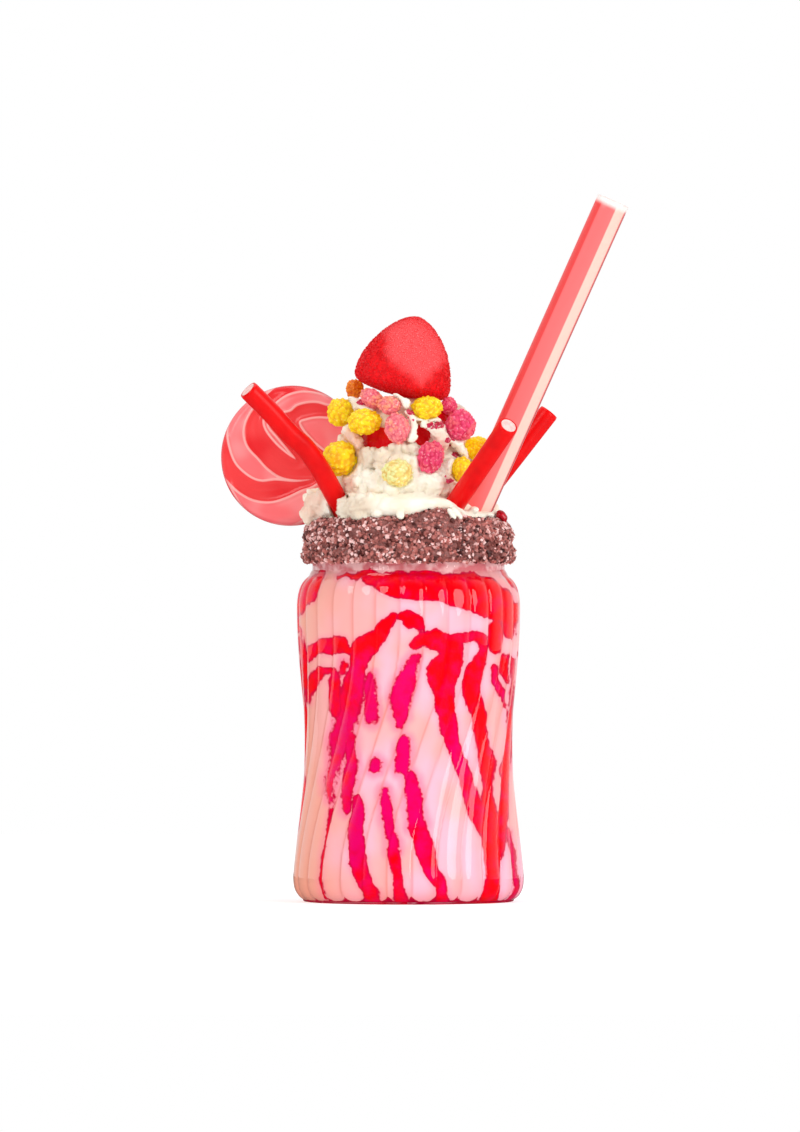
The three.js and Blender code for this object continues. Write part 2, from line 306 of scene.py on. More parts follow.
def small_solids(
    name: str,
    form: Grain,
    centres: Points,
    sizes: Points,
    seed: int,
    tags: dict[str, Points],
) -> bpy.types.Object:
    """Many small solids of one form as one mesh, each turned its own way.

    Args:
        name: Name of the piece.
        form: Shape of each solid.
        centres: Where each lies, in millimetres.
        sizes: Half width of each, in millimetres.
        seed: Number that picks the turns.
        tags: One value for each solid, by name, for the finish to read.

    Returns:
        The object, in the scene.
    """
    chance = np.random.default_rng(seed)
    corners, faces = form.mesh()
    axes = np.linalg.qr(chance.normal(size=(len(centres), 3, 3)))[0]
    axes *= np.linalg.det(axes)[:, None, None]
    stretch = chance.uniform(0.7, 1.2, size=(len(centres), 1, 3))
    shaped = corners[None] * sizes[:, None, None] * stretch
    points = np.einsum("nij,nkj->nki", axes, shaped) + centres[:, None]
    joined = (faces[None] + len(corners) * np.arange(len(centres))[:, None, None]).reshape(-1, faces.shape[1])
    spread = {tag: np.repeat(values, len(corners)) for tag, values in tags.items()}
    return solid(name, points.reshape(-1, 3), joined, spread, smooth=False)


def hollows(mesh: bpy.types.Mesh, place: Points, normal: Points, reach: int) -> Points:
    """How deep each corner of a mesh lies among those about it.

    Args:
        mesh: The mesh.
        place: Places of its corners.
        normal: Direction out at each corner.
        reach: How many edges away the corners still count.

    Returns:
        Depths in the units of the places, below 0 on what stands out.
    """
    edges = np.empty(len(mesh.edges) * 2, np.int32)
    mesh.edges.foreach_get("vertices", edges)
    start, end = edges.reshape(-1, 2).T
    corner, other = np.concatenate([start, end]), np.concatenate([end, start])
    count = np.bincount(corner, minlength=len(place))
    mean = place
    for _ in range(reach):
        sums = [np.bincount(corner, mean[other, axis], len(place)) for axis in range(3)]
        mean = np.stack(sums, axis=1) / count[:, None]
    return np.einsum("ij,ij->i", mean - place, normal)


class Grain(Enum):
    """Forms of small grains."""

    CRYSTAL = "crystal"
    CRUMB = "crumb"

    def mesh(self) -> tuple[Points, Points]:
        """Corners of half width 1, and faces."""
        if self is Grain.CRYSTAL:
            corners = np.array(list(itertools.product((-0.8, 0.8), repeat=3)))
            faces = [(0, 1, 3, 2), (4, 6, 7, 5), (0, 4, 5, 1), (2, 3, 7, 6), (0, 2, 6, 4), (1, 5, 7, 3)]
            return corners, np.array(faces)
        corners = np.array([(1, 0, 0), (-1, 0, 0), (0, 1, 0), (0, -1, 0), (0, 0, 1), (0, 0, -1)], float)
        faces = [(4, 0, 2), (4, 2, 1), (4, 1, 3), (4, 3, 0), (5, 2, 0), (5, 1, 2), (5, 3, 1), (5, 0, 3)]
        return corners, np.array(faces)


def settle(piece: bpy.types.Object, material: bpy.types.Material, slot: str, *nodes: str) -> bpy.types.Object:
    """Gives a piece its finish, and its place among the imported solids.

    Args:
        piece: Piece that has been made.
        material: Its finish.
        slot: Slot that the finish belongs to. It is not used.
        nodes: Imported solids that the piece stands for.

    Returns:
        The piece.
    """
    piece.data.materials.clear()
    piece.data.materials.append(material)
    if nodes:
        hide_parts(*nodes)
    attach(piece, BODY)
    log.info("%s: %d faces", piece.name, len(piece.data.polygons))
    return piece


class Bench:
    """A material or a world on the bench, with short ways to add its nodes."""

    def __init__(self, name: str, shelf: str = "materials") -> None:
        """Starts an empty one on the given shelf of Blender's data."""
        self.owner = getattr(bpy.data, shelf).new(name)
        self.owner.use_nodes = True
        self.tree = self.owner.node_tree
        self.tree.nodes.clear()

    def add(
        self,
        kind: str,
        inputs: dict[str | int, object] | None = None,
        **settings: object,
    ) -> bpy.types.Node:
        """Adds a node.

        Args:
            kind: Node type, without its first word.
            inputs: Values or sockets for its inputs, by name or by number.
            settings: Values of its settings.

        Returns:
            The node.
        """
        node = self.tree.nodes.new("ShaderNode" + kind)
        for key, value in settings.items():
            setattr(node, key, value)
        for key, value in (inputs or {}).items():
            if isinstance(value, bpy.types.NodeSocket):
                self.tree.links.new(value, node.inputs[key])
            else:
                node.inputs[key].default_value = value
        return node

    def mix(self, factor: Socket | float, low: Socket | Tint, high: Socket | Tint) -> Socket:
        """Blends two colours."""
        return self.add("Mix", {0: factor, 6: low, 7: high}, data_type="RGBA").outputs[2]

    def swap(self, factor: Socket, first: bpy.types.Node, second: bpy.types.Node) -> bpy.types.Node:
        """Shows the second shader in place of the first where the factor is 1."""
        return self.add("MixShader", {0: factor, 1: first.outputs[0], 2: second.outputs[0]})

    def maths(self, operation: str, *values: Socket | float) -> Socket:
        """Result of one sum."""
        return self.add("Math", dict(enumerate(values)), operation=operation).outputs[0]

    def tag(self, name: str) -> Socket:
        """Value that the mesh holds under a name."""
        return self.add("Attribute", attribute_name=name).outputs["Fac"]

    def where(self) -> Socket:
        """Place on the object, in metres."""
        return self.add("TexCoord").outputs["Object"]

    def place(self, axis: str) -> Socket:
        """One coordinate of the place on the object, in metres."""
        return self.add("SeparateXYZ", {"Vector": self.where()}).outputs[axis]

    def step(self, value: Socket, low: float, high: float) -> Socket:
        """Soft step from 0 at low to 1 at high."""
        reach = {"Value": value, "From Min": low, "From Max": high}
        return self.add("MapRange", reach, interpolation_type="SMOOTHSTEP").outputs["Result"]

    def noise(self, size: float, detail: float = 2.0) -> Socket:
        """Cloudy noise with lumps of a size in millimetres, from 0 to 1."""
        inputs = {"Vector": self.where(), "Scale": 1 / (size * MM), "Detail": detail}
        return self.add("TexNoise", inputs).outputs["Fac"]

    def cells(self, size: float) -> Socket:
        """Distance to the nearest of many scattered points, in shares of the size given in millimetres."""
        return self.add("TexVoronoi", {"Vector": self.where(), "Scale": 1 / (size * MM)}).outputs["Distance"]

    def bump(self, height: Socket, depth: float, strength: float = 1.0) -> Socket:
        """Relief in the shading, as deep as given in millimetres."""
        inputs = {"Height": height, "Distance": depth * MM, "Strength": strength}
        return self.add("Bump", inputs).outputs["Normal"]

    def surface(self, **inputs: object) -> bpy.types.Node:
        """Adds the main shader. An input's name has low lines for its spaces."""
        return self.add("BsdfPrincipled", {key.replace("_", " "): value for key, value in inputs.items()})

    def done(self, shader: bpy.types.Node, output: str = "OutputMaterial") -> bpy.types.ID:
        """Wires the shader to the output and gives the material or the world."""
        self.add(output, {"Surface": shader.outputs[0]})
        return self.owner


@dataclass(frozen=True)
class PressedGlass:
    """Clear glass that lets lamp light straight through, with faint painted shade along the seams of the
    flutes.
    """

    clear: Tint = (1.0, 1.0, 1.0, 1.0)
    # Painted shade along the seams of the flutes: its tint and how strongly it shows.
    seam: Tint = tint(214, 160, 146)
    seam_shade_strength: float = 0.45

    def material(self) -> bpy.types.Material:
        """Makes the material."""
        bench = Bench("pressed_glass")
        shade = bench.maths("MULTIPLY", bench.tag("seam"), self.seam_shade_strength)
        colour = bench.mix(shade, self.clear, self.seam)
        ripple = bench.bump(bench.noise(14, 1), 0.25, 0.3)
        inputs = {"Color": colour, "Roughness": 0.0, "IOR": GLASS_BEND, "Normal": ripple}
        blend = bench.add("BsdfGlass", inputs)
        through = bench.add("BsdfTransparent")
        rays = bench.add("LightPath").outputs
        for ray in ("Is Diffuse Ray", "Is Shadow Ray"):
            blend = bench.swap(rays[ray], blend, through)
        return bench.done(blend)


@dataclass(frozen=True)
class StreakedShake:
    """Pale pink milkshake with strawberry syrup run down the inside of the glass."""

    warm: Tint = tint(253, 174, 172)
    cool: Tint = tint(252, 184, 202)
    beige: Tint = tint(230, 158, 134)
    neck: Tint = tint(216, 120, 126)
    neck_light: Tint = tint(246, 196, 196)
    red: Tint = tint(242, 0, 16)
    magenta: Tint = tint(228, 2, 100)
    deep: Tint = tint(214, 0, 10)
    edge: Tint = tint(202, 0, 60)
    # Painted shade from the flute in front, strongest just left of each seam.
    stain: Tint = tint(248, 112, 150)
    seam: Tint = tint(226, 140, 128)
    beige_from: float = -16.0
    beige_to: float = -40.0
    neck_from: float = 117.0
    neck_to: float = 118.4
    edge_width: float = 0.9
    raggedness: float = 3.0
    tone_spread: float = 0.8

    def material(self) -> bpy.types.Material:
        """Makes the material."""
        bench = Bench("streaked_shake")
        clouds = bench.step(bench.noise(24, 2), 0.38, 0.62)
        shake = bench.mix(clouds, self.warm, self.cool)
        left = bench.step(bench.place("X"), self.beige_from * MM, self.beige_to * MM)
        shake = bench.mix(left, shake, self.beige)
        shake = bench.mix(bench.maths("MULTIPLY", bench.tag("stain"), 0.7), shake, self.stain)
        # Painted shade of the flutes in front of the drink.
        shake = bench.mix(bench.maths("MULTIPLY", bench.tag("flute"), 0.4), shake, self.seam)
        patches = bench.step(bench.noise(6, 2), 0.42, 0.62)
        neck = bench.mix(patches, self.neck, self.neck_light)
        above = bench.step(bench.place("Z"), self.neck_from * MM, self.neck_to * MM)
        shake = bench.mix(above, shake, neck)
        ragged = bench.maths("MULTIPLY_ADD", bench.noise(1.5, 4), 2 * self.raggedness, -self.raggedness)
        syrup = bench.maths("ADD", bench.tag("syrup"), ragged)
        tone = bench.maths("MULTIPLY_ADD", bench.noise(5, 3), 2 * self.tone_spread, -self.tone_spread)
        tone = bench.maths("ADD", bench.tag("tone"), tone)
        run = bench.mix(bench.step(tone, 0.0, 1.0), self.red, self.magenta)
        dark = bench.maths("MULTIPLY", bench.step(bench.noise(8, 2), 0.5, 0.75), 0.4)
        run = bench.mix(dark, run, self.deep)
        run = bench.mix(bench.step(bench.tag("depth"), self.edge_width, 0.1), run, self.edge)
        colour = bench.mix(bench.step(syrup, -1.0, 1.0), shake, run)
        return bench.done(bench.surface(Base_Color=colour, Roughness=0.6, Specular_IOR_Level=0.0))


@dataclass(frozen=True)
class SugarCrumbs:
    """Coarse dusky sugar crumbs, with painted shade in the gaps between the grains."""

    dark: Tint = tint(66, 16, 12)
    middle: Tint = tint(192, 112, 104)
    bright: Tint = tint(255, 214, 210)

    def material(self, name: str, tagged: bool) -> bpy.types.Material:
        """Makes the material, for grains that are each tagged with a shade, or for the crust under them."""
        bench = Bench(name)
        # The crust between the grains takes only the darker half: painted shade in the gaps.
        value = bench.tag("shade") if tagged else bench.maths("MULTIPLY", bench.noise(1.6, 3), 0.5)
        colour = bench.mix(bench.step(value, 0.0, 0.6), self.dark, self.middle)
        colour = bench.mix(bench.step(value, 0.62, 1.0), colour, self.bright)
        relief = bench.bump(bench.noise(0.5, 3), 0.25)
        surface = bench.surface(Base_Color=colour, Roughness=0.3, Specular_IOR_Level=0.6, Normal=relief)
        return bench.done(surface)


@dataclass(frozen=True)
class SoftCream:
    """Whipped cream with light in it, with painted shade in its folds and on its left, and stained by sauce
    where the mesh says so.
    """

    cream: Tint = tint(248, 244, 228)
    shade: Tint = tint(244, 228, 206)
    fold_shade: Tint = tint(216, 196, 172)
    sauce: Tint = tint(204, 8, 18)
    blush_and_shade: Tint = tint(230, 174, 152)

    def material(self) -> bpy.types.Material:
        """Makes the material."""
        bench = Bench("soft_cream")
        colour = bench.mix(bench.step(bench.noise(9, 3), 0.42, 0.7), self.cream, self.shade)
        # Painted shade in the folds and hollows.
        colour = bench.mix(bench.maths("MULTIPLY", bench.tag("fold_shade"), 0.85), colour, self.fold_shade)
        # Pink round the sauce, and painted beige shade in the marked patches on the left.
        colour = bench.mix(bench.maths("MULTIPLY", bench.tag("blush_and_shade"), 0.8), colour, self.blush_and_shade)
        wet = bench.step(bench.tag("sauce"), -0.15, 0.15)
        colour = bench.mix(wet, colour, self.sauce)
        gloss = bench.maths("SUBTRACT", 0.5, bench.maths("MULTIPLY", wet, 0.38))
        relief = bench.bump(bench.noise(0.9, 3), 0.16, 0.8)
        surface = bench.surface(
            Base_Color=colour,
            Roughness=gloss,
            Specular_IOR_Level=0.3,
            Subsurface_Weight=0.15,
            Subsurface_Scale=0.002,
            Subsurface_Radius=(1.0, 0.8, 0.6),
            # Painted glow on the sauce, which lifts it out of the shade of its recess.
            Emission_Color=self.sauce,
            Emission_Strength=bench.maths("MULTIPLY", wet, 0.18),
            Normal=relief,
        )
        return bench.done(surface)


@dataclass(frozen=True)
class PuffedSugar:
    """Sugared cluster, with painted shade in its hollows and a painted glow, clouded by a second colour, with
    bright sugar on its knobs.
    """

    name: str
    main: Tint
    hollow: Tint
    touch: Tint
    touched: float = 0.4
    sugar: Tint = tint(255, 240, 200)
    sugared: float = 0.25

    def material(self) -> bpy.types.Material:
        """Makes the material."""
        bench = Bench("puffed_" + self.name)
        patch = bench.maths("MULTIPLY", bench.step(bench.noise(4.5, 2), 0.46, 0.62), self.touched)
        colour = bench.mix(patch, self.main, self.touch)
        colour = bench.mix(bench.step(bench.tag("hollow"), 0.2, 1.0), colour, self.hollow)
        sparkle = bench.maths("MULTIPLY", bench.step(bench.noise(0.9, 2), 0.56, 0.7), self.sugared)
        colour = bench.mix(sparkle, colour, self.sugar)
        relief = bench.bump(bench.noise(0.6, 3), 0.22, 0.9)
        surface = bench.surface(
            Base_Color=colour,
            Roughness=0.42,
            Specular_IOR_Level=0.35,
            Subsurface_Weight=0.12,
            Subsurface_Scale=0.0015,
            Emission_Color=colour,
            # Painted glow: light that the cluster gives off itself.
            Emission_Strength=bench.tag("glow"),
            Normal=relief,
        )
        return bench.done(surface)


@dataclass(frozen=True)
class SugaredFoam:
    """Red foam sweet under fine sugar, with painted light: paler sugar where the light falls, and a faint
    painted glow.
    """

    red: Tint = tint(236, 10, 20)
    deep: Tint = tint(202, 0, 10)
    frost_and_light: Tint = tint(255, 120, 124)

    def material(self, name: str = "sugared_foam", tagged: bool = False) -> bpy.types.Material:
        """Makes the material, for grains tagged with a shade, or for the foam."""
        bench = Bench(name)
        if tagged:
            colour = bench.mix(bench.tag("shade"), self.deep, self.frost_and_light)
        else:
            colour = bench.mix(bench.step(bench.noise(1.4, 3), 0.35, 0.7), self.deep, self.red)
            colour = bench.mix(bench.maths("MULTIPLY", bench.tag("frost_and_light"), 0.4), colour, self.frost_and_light)
        relief = bench.bump(bench.cells(0.55), 0.2, 0.8)
        surface = bench.surface(
            Base_Color=colour,
            Roughness=0.5,
            Specular_IOR_Level=0.15,
            # Painted glow, which lifts the shaded lower part.
            Emission_Color=self.red,
            Emission_Strength=0.12,
            Normal=relief,
        )
        return bench.done(surface)


@dataclass(frozen=True)
class BoiledSugar:
    """Glossy boiled sugar in two colours, with a painted highlight along the raised edge of each arm and
    painted shade round its rim.
    """

    red: Tint = tint(240, 64, 66)
    deep: Tint = tint(232, 38, 44)
    pink: Tint = tint(250, 112, 116)
    pale: Tint = tint(250, 140, 142)
    # A painted highlight along the raised edge of each arm.
    thread_highlight: Tint = tint(252, 172, 168)
    # Painted shade round the rounded rim.
    rim: Tint = tint(206, 40, 56)

    def material(self) -> bpy.types.Material:
        """Makes the material."""
        bench = Bench("boiled_sugar")
        inside = bench.tag("arm")
        red = bench.mix(bench.step(bench.noise(16, 1), 0.4, 0.7), self.red, self.deep)
        pink = bench.mix(bench.step(bench.noise(13, 1), 0.4, 0.65), self.pink, self.pale)
        colour = bench.mix(bench.step(inside, -0.12, 0.12), red, pink)
        colour = bench.mix(bench.step(bench.tag("thread_highlight"), 0.35, 0.85), colour, self.thread_highlight)
        colour = bench.mix(bench.maths("MULTIPLY", bench.tag("rim"), 0.5), colour, self.rim)
        surface = bench.surface(Base_Color=colour, Roughness=0.22, Specular_IOR_Level=0.35)
        return bench.done(surface)


@dataclass(frozen=True)
class BandedPlastic:
    """Drinking straw in long bands: painted shade on its left, a painted highlight and a dark painted edge on
    its right, and a pale cut edge.
    """

    pink: Tint = tint(252, 112, 112)
    # Painted shade, painted highlight and a painted dark edge line, in turn.
    coral: Tint = tint(236, 72, 72)
    cream: Tint = tint(244, 198, 184)
    line: Tint = tint(186, 92, 92)
    cut: Tint = tint(255, 240, 236)

    def material(self) -> bpy.types.Material:
        """Makes the material."""
        bench = Bench("banded_plastic")
        colour = self.pink
        bands = {"coral": self.coral, "cream": self.cream, "line": self.line, "cut": self.cut}
        for tag, band in bands.items():
            colour = bench.mix(bench.step(bench.tag(tag), 0.2, 0.8), colour, band)
        haze = bench.bump(bench.noise(3, 2), 0.05, 0.3)
        surface = bench.surface(Base_Color=colour, Roughness=0.3, Specular_IOR_Level=0.3, Normal=haze)
        return bench.done(surface)


@dataclass(frozen=True)
class PlainSweet:
    """One colour of sweet or paper, clouded by a second, with fine relief."""

    name: str
    main: Tint
    second: Tint
    cloud: float
    roughness: float
    grain: float
    depth: float
    shine: float = 0.3

    def material(self) -> bpy.types.Material:
        """Makes the material."""
        bench = Bench(self.name)
        colour = bench.mix(bench.step(bench.noise(self.cloud, 2), 0.4, 0.7), self.main, self.second)
        relief = bench.bump(bench.noise(self.grain, 2), self.depth, 0.6)
        surface = bench.surface(
            Base_Color=colour,
            Roughness=self.roughness,
            Specular_IOR_Level=self.shine,
            Normal=relief,
        )
        return bench.done(surface)


@dataclass
class FlutedJar:
    """Glass drinking jar with flutes that turn down its waist."""

    rim: float = 136.0
    rim_round: float = 1.4
    neck_radius: float = 34.6
    neck: float = 119.4
    shoulder_radius: float = 40.2
    shoulder: float = 106.0
    waist_radius: float = 37.4
    waist: float = 57.0
    belly_radius: float = 41.6
    belly: float = 9.0
    foot_radius: float = 36.4
    wall: float = 3.2
    floor: float = 3.0
    flutes: int = 28
    flute_depth: float = 0.95
    twist: float = math.radians(-32)
    first_seam: float = math.radians(-4.9)
    twist_from: float = 12.0
    twist_to: float = 96.0
    arch_top: float = 117.2
    arch_rise: float = 4.5
    scallop_foot: float = 0.9
    scallop_rise: float = 5.0
    crown_power: float = 3.0
    columns_a_flute: int = 14
    seam_shade_width: float = 0.08
    refraction: float = GLASS_BEND

    def outline(self, inset: float, floor: float, step: int) -> Points:
        """Radius and height up the side, from the floor to the neck.

        Args:
            inset: How far the outline lies inside the crowns of the flutes.
            floor: Height of its lowest point.
            step: Points in each of its four stretches.

        Returns:
            Rows of radius and height.
        """
        foot, belly, waist = (r - inset for r in (self.foot_radius, self.belly_radius, self.waist_radius))
        shoulder, neck = self.shoulder_radius - inset, self.neck_radius - inset
        shoulder_z = self.shoulder - 0.6 * inset
        neck_z = self.neck - 0.6 * inset
        turn_z = 0.7 * floor + 0.3 * self.belly
        stretches = (
            [(foot, floor), (belly - 2.4, floor), (belly, turn_z), (belly, self.belly)],
            [(belly, self.belly), (belly - 1.4, 26), (waist, 38), (waist, self.waist)],
            [(waist, self.waist), (waist, 74), (shoulder, 86), (shoulder, shoulder_z)],
            [(shoulder, shoulder_z), (shoulder, shoulder_z + 8.5), (neck + 2, neck_z - 2), (neck, neck_z)],
        )
        pieces = [bezier(stretch, step)[:-1] for stretch in stretches]
        return np.vstack([*pieces, [(neck, neck_z)]])

    def seam_bearing(self, height: Points) -> Points:
        """Bearing of one seam at each height."""
        return self.first_seam + self.twist * (1 - smoothstep(height, self.twist_from, self.twist_to))

    def across_flute(self, height: Points, bearing: Points) -> Points:
        """Place across the nearest flute, from -1 at one seam over 0 at the crown to 1 at the next."""
        share = (bearing - self.seam_bearing(height)) / (2 * math.pi / self.flutes)
        return 2 * (share % 1) - 1

    def flute_sink(self, height: Points, bearing: Points) -> Points:
        """How far the wall lies inside the crowns, in millimetres."""
        above = np.clip((height - self.arch_top + self.arch_rise) / self.arch_rise, 0, 1)
        below = np.clip((self.scallop_foot + self.scallop_rise - height) / self.scallop_rise, 0, 1)
        crown = 1 - np.abs(self.across_flute(height, bearing)) ** self.crown_power - above**2 - below**2
        fade = smoothstep(height, 0.0, 1.0) * (1 - smoothstep(height, self.arch_top - 0.5, self.neck))
        return self.flute_depth * fade * (1 - np.clip(crown, 0, 1) ** 0.75)

    def outside_radius(self, height: Points) -> Points:
        """Radius of the crowns at each height."""
        side = self.outline(0, 0, 24)
        return np.interp(height, side[:, 1], side[:, 0])

    def seen_right(self, bearing: Points, height: Points) -> Points:
        """How far right of the jar's axis the glass shows a place on the drink to a level view.

        Args:
            bearing: Bearing of the place, from -pi to pi.
            height: Its height.

        Returns:
            Distances in millimetres. Those of places on the far side go on outwards.
        """
        share = np.linspace(-0.998, 0.998, 400)
        bent = share * self.waist_radius / self.refraction
        inner = self.waist_radius - self.wall + 0.4
        turn = np.arcsin(share) + np.arcsin(bent / inner) - np.arcsin(bent / self.waist_radius)
        turn = np.concatenate([[-math.pi], turn, [math.pi]])
        return (self.outside_radius(height) - 0.2) * np.interp(bearing, turn, [-2.2, *share, 2.2])

    def seen_height(self, drink: Points) -> Points:
        """Height at which the foot of the glass shows each row of the drink to a level view.

        Args:
            drink: Radius and height of each row, from the middle of the floor up.

        Returns:
            The heights, which differ from the rows' own near the floor alone.
        """
        side = self.outline(0, 0, 60)
        seen = np.linspace(0.5, 30, 90)
        place = np.stack([np.interp(seen, side[:, 1], side[:, 0]), seen], axis=1)
        rise = np.gradient(place, axis=0)
        out = np.stack([rise[:, 1], -rise[:, 0]], axis=1)
        out /= np.linalg.norm(out, axis=1, keepdims=True)
        turn = np.sqrt(1 - (1 - out[:, 0] ** 2) / self.refraction**2) - out[:, 0] / self.refraction
        ray = np.array([-1.0, 0.0]) / self.refraction - turn[:, None] * out
        length = np.cumsum(np.hypot(*np.diff(drink, axis=0, prepend=drink[:1]).T))
        floor = drink[0, 1]
        reach = np.linspace(0, 30, 600)[:, None]
        radius = place[:, 0] + reach * ray[:, 0]
        height = place[:, 1] + reach * ray[:, 1]
        wet = (height > floor) & (radius < np.interp(height, drink[:, 1], drink[:, 0]))
        ray_number = np.arange(len(seen))
        first = np.argmax(wet, axis=0)
        low = np.argmax(drink[:, 1] > floor + 0.01)
        met = np.interp(height[first, ray_number], drink[low:, 1], length[low:])
        from_below = height[np.maximum(first - 1, 0), ray_number] <= floor
        met = np.where(from_below, radius[first, ray_number], met)
        order = np.argsort(met)
        shown = np.interp(length, met[order], seen[order], left=12.0)
        return np.where(drink[:, 1] > 28, drink[:, 1], shown)

    def build(self, finish: PressedGlass) -> bpy.types.Object:
        """Makes the glass, outside and inside as one closed shell.

        Args:
            finish: Finish of the glass.

        Returns:
            The glass.
        """
        bearing = full_turn(self.flutes * self.columns_a_flute)
        neck, rim, turn = self.neck_radius, self.rim, self.rim_round
        outer = np.vstack([[(0.01, 0)], self.outline(0, 0, 30), [(neck, z) for z in (124, 130, rim - turn)]])
        mouth = neck - self.wall
        lip = [(neck - 0.4 * turn, rim - 0.4 * turn), (neck - turn, rim)]
        over = [(mouth + 0.8, rim), (mouth, rim - 1), (mouth, 130)]
        side = self.outline(self.wall, self.floor, 9)[::-1]
        inside = np.vstack([lip, over, side, [(0.01, self.floor)]])
        height = outer[:, 1:2]
        radius = outer[:, :1] - self.flute_sink(height, bearing) * (outer[:, :1] > 5)
        inner = around(inside[:, :1], inside[:, 1:2], bearing)
        points, faces = rings_to_shell(np.concatenate([around(radius, height, bearing), inner]))
        # Painted shade along each seam of the flutes, which the glass's finish reads.
        seam = np.exp(-(((1 - np.abs(self.across_flute(height, bearing))) / self.seam_shade_width) ** 2))
        seam *= smoothstep(height, 1.0, 5.0) * (1 - smoothstep(height, self.arch_top - 3, self.arch_top))
        seam = np.concatenate([seam.ravel(), np.zeros(len(inside) * len(bearing))])
        glass = solid("jar_of_glass", points, faces, {"seam": seam})
        return settle(glass, finish.material(), "jar_glass", "jar_glass")


@dataclass(frozen=True)
class SyrupRun:
    """One run of syrup on the glass, as it is seen from its side of the jar.

    Each point holds how far right it is seen, its height and half its width. A soft run has a
    blurred edge, and its tone goes from red at 0 to magenta at 1.
    """

    points: Rows
    blur: float = 0.22
    tone: float = 0.15
    from_behind: bool = False


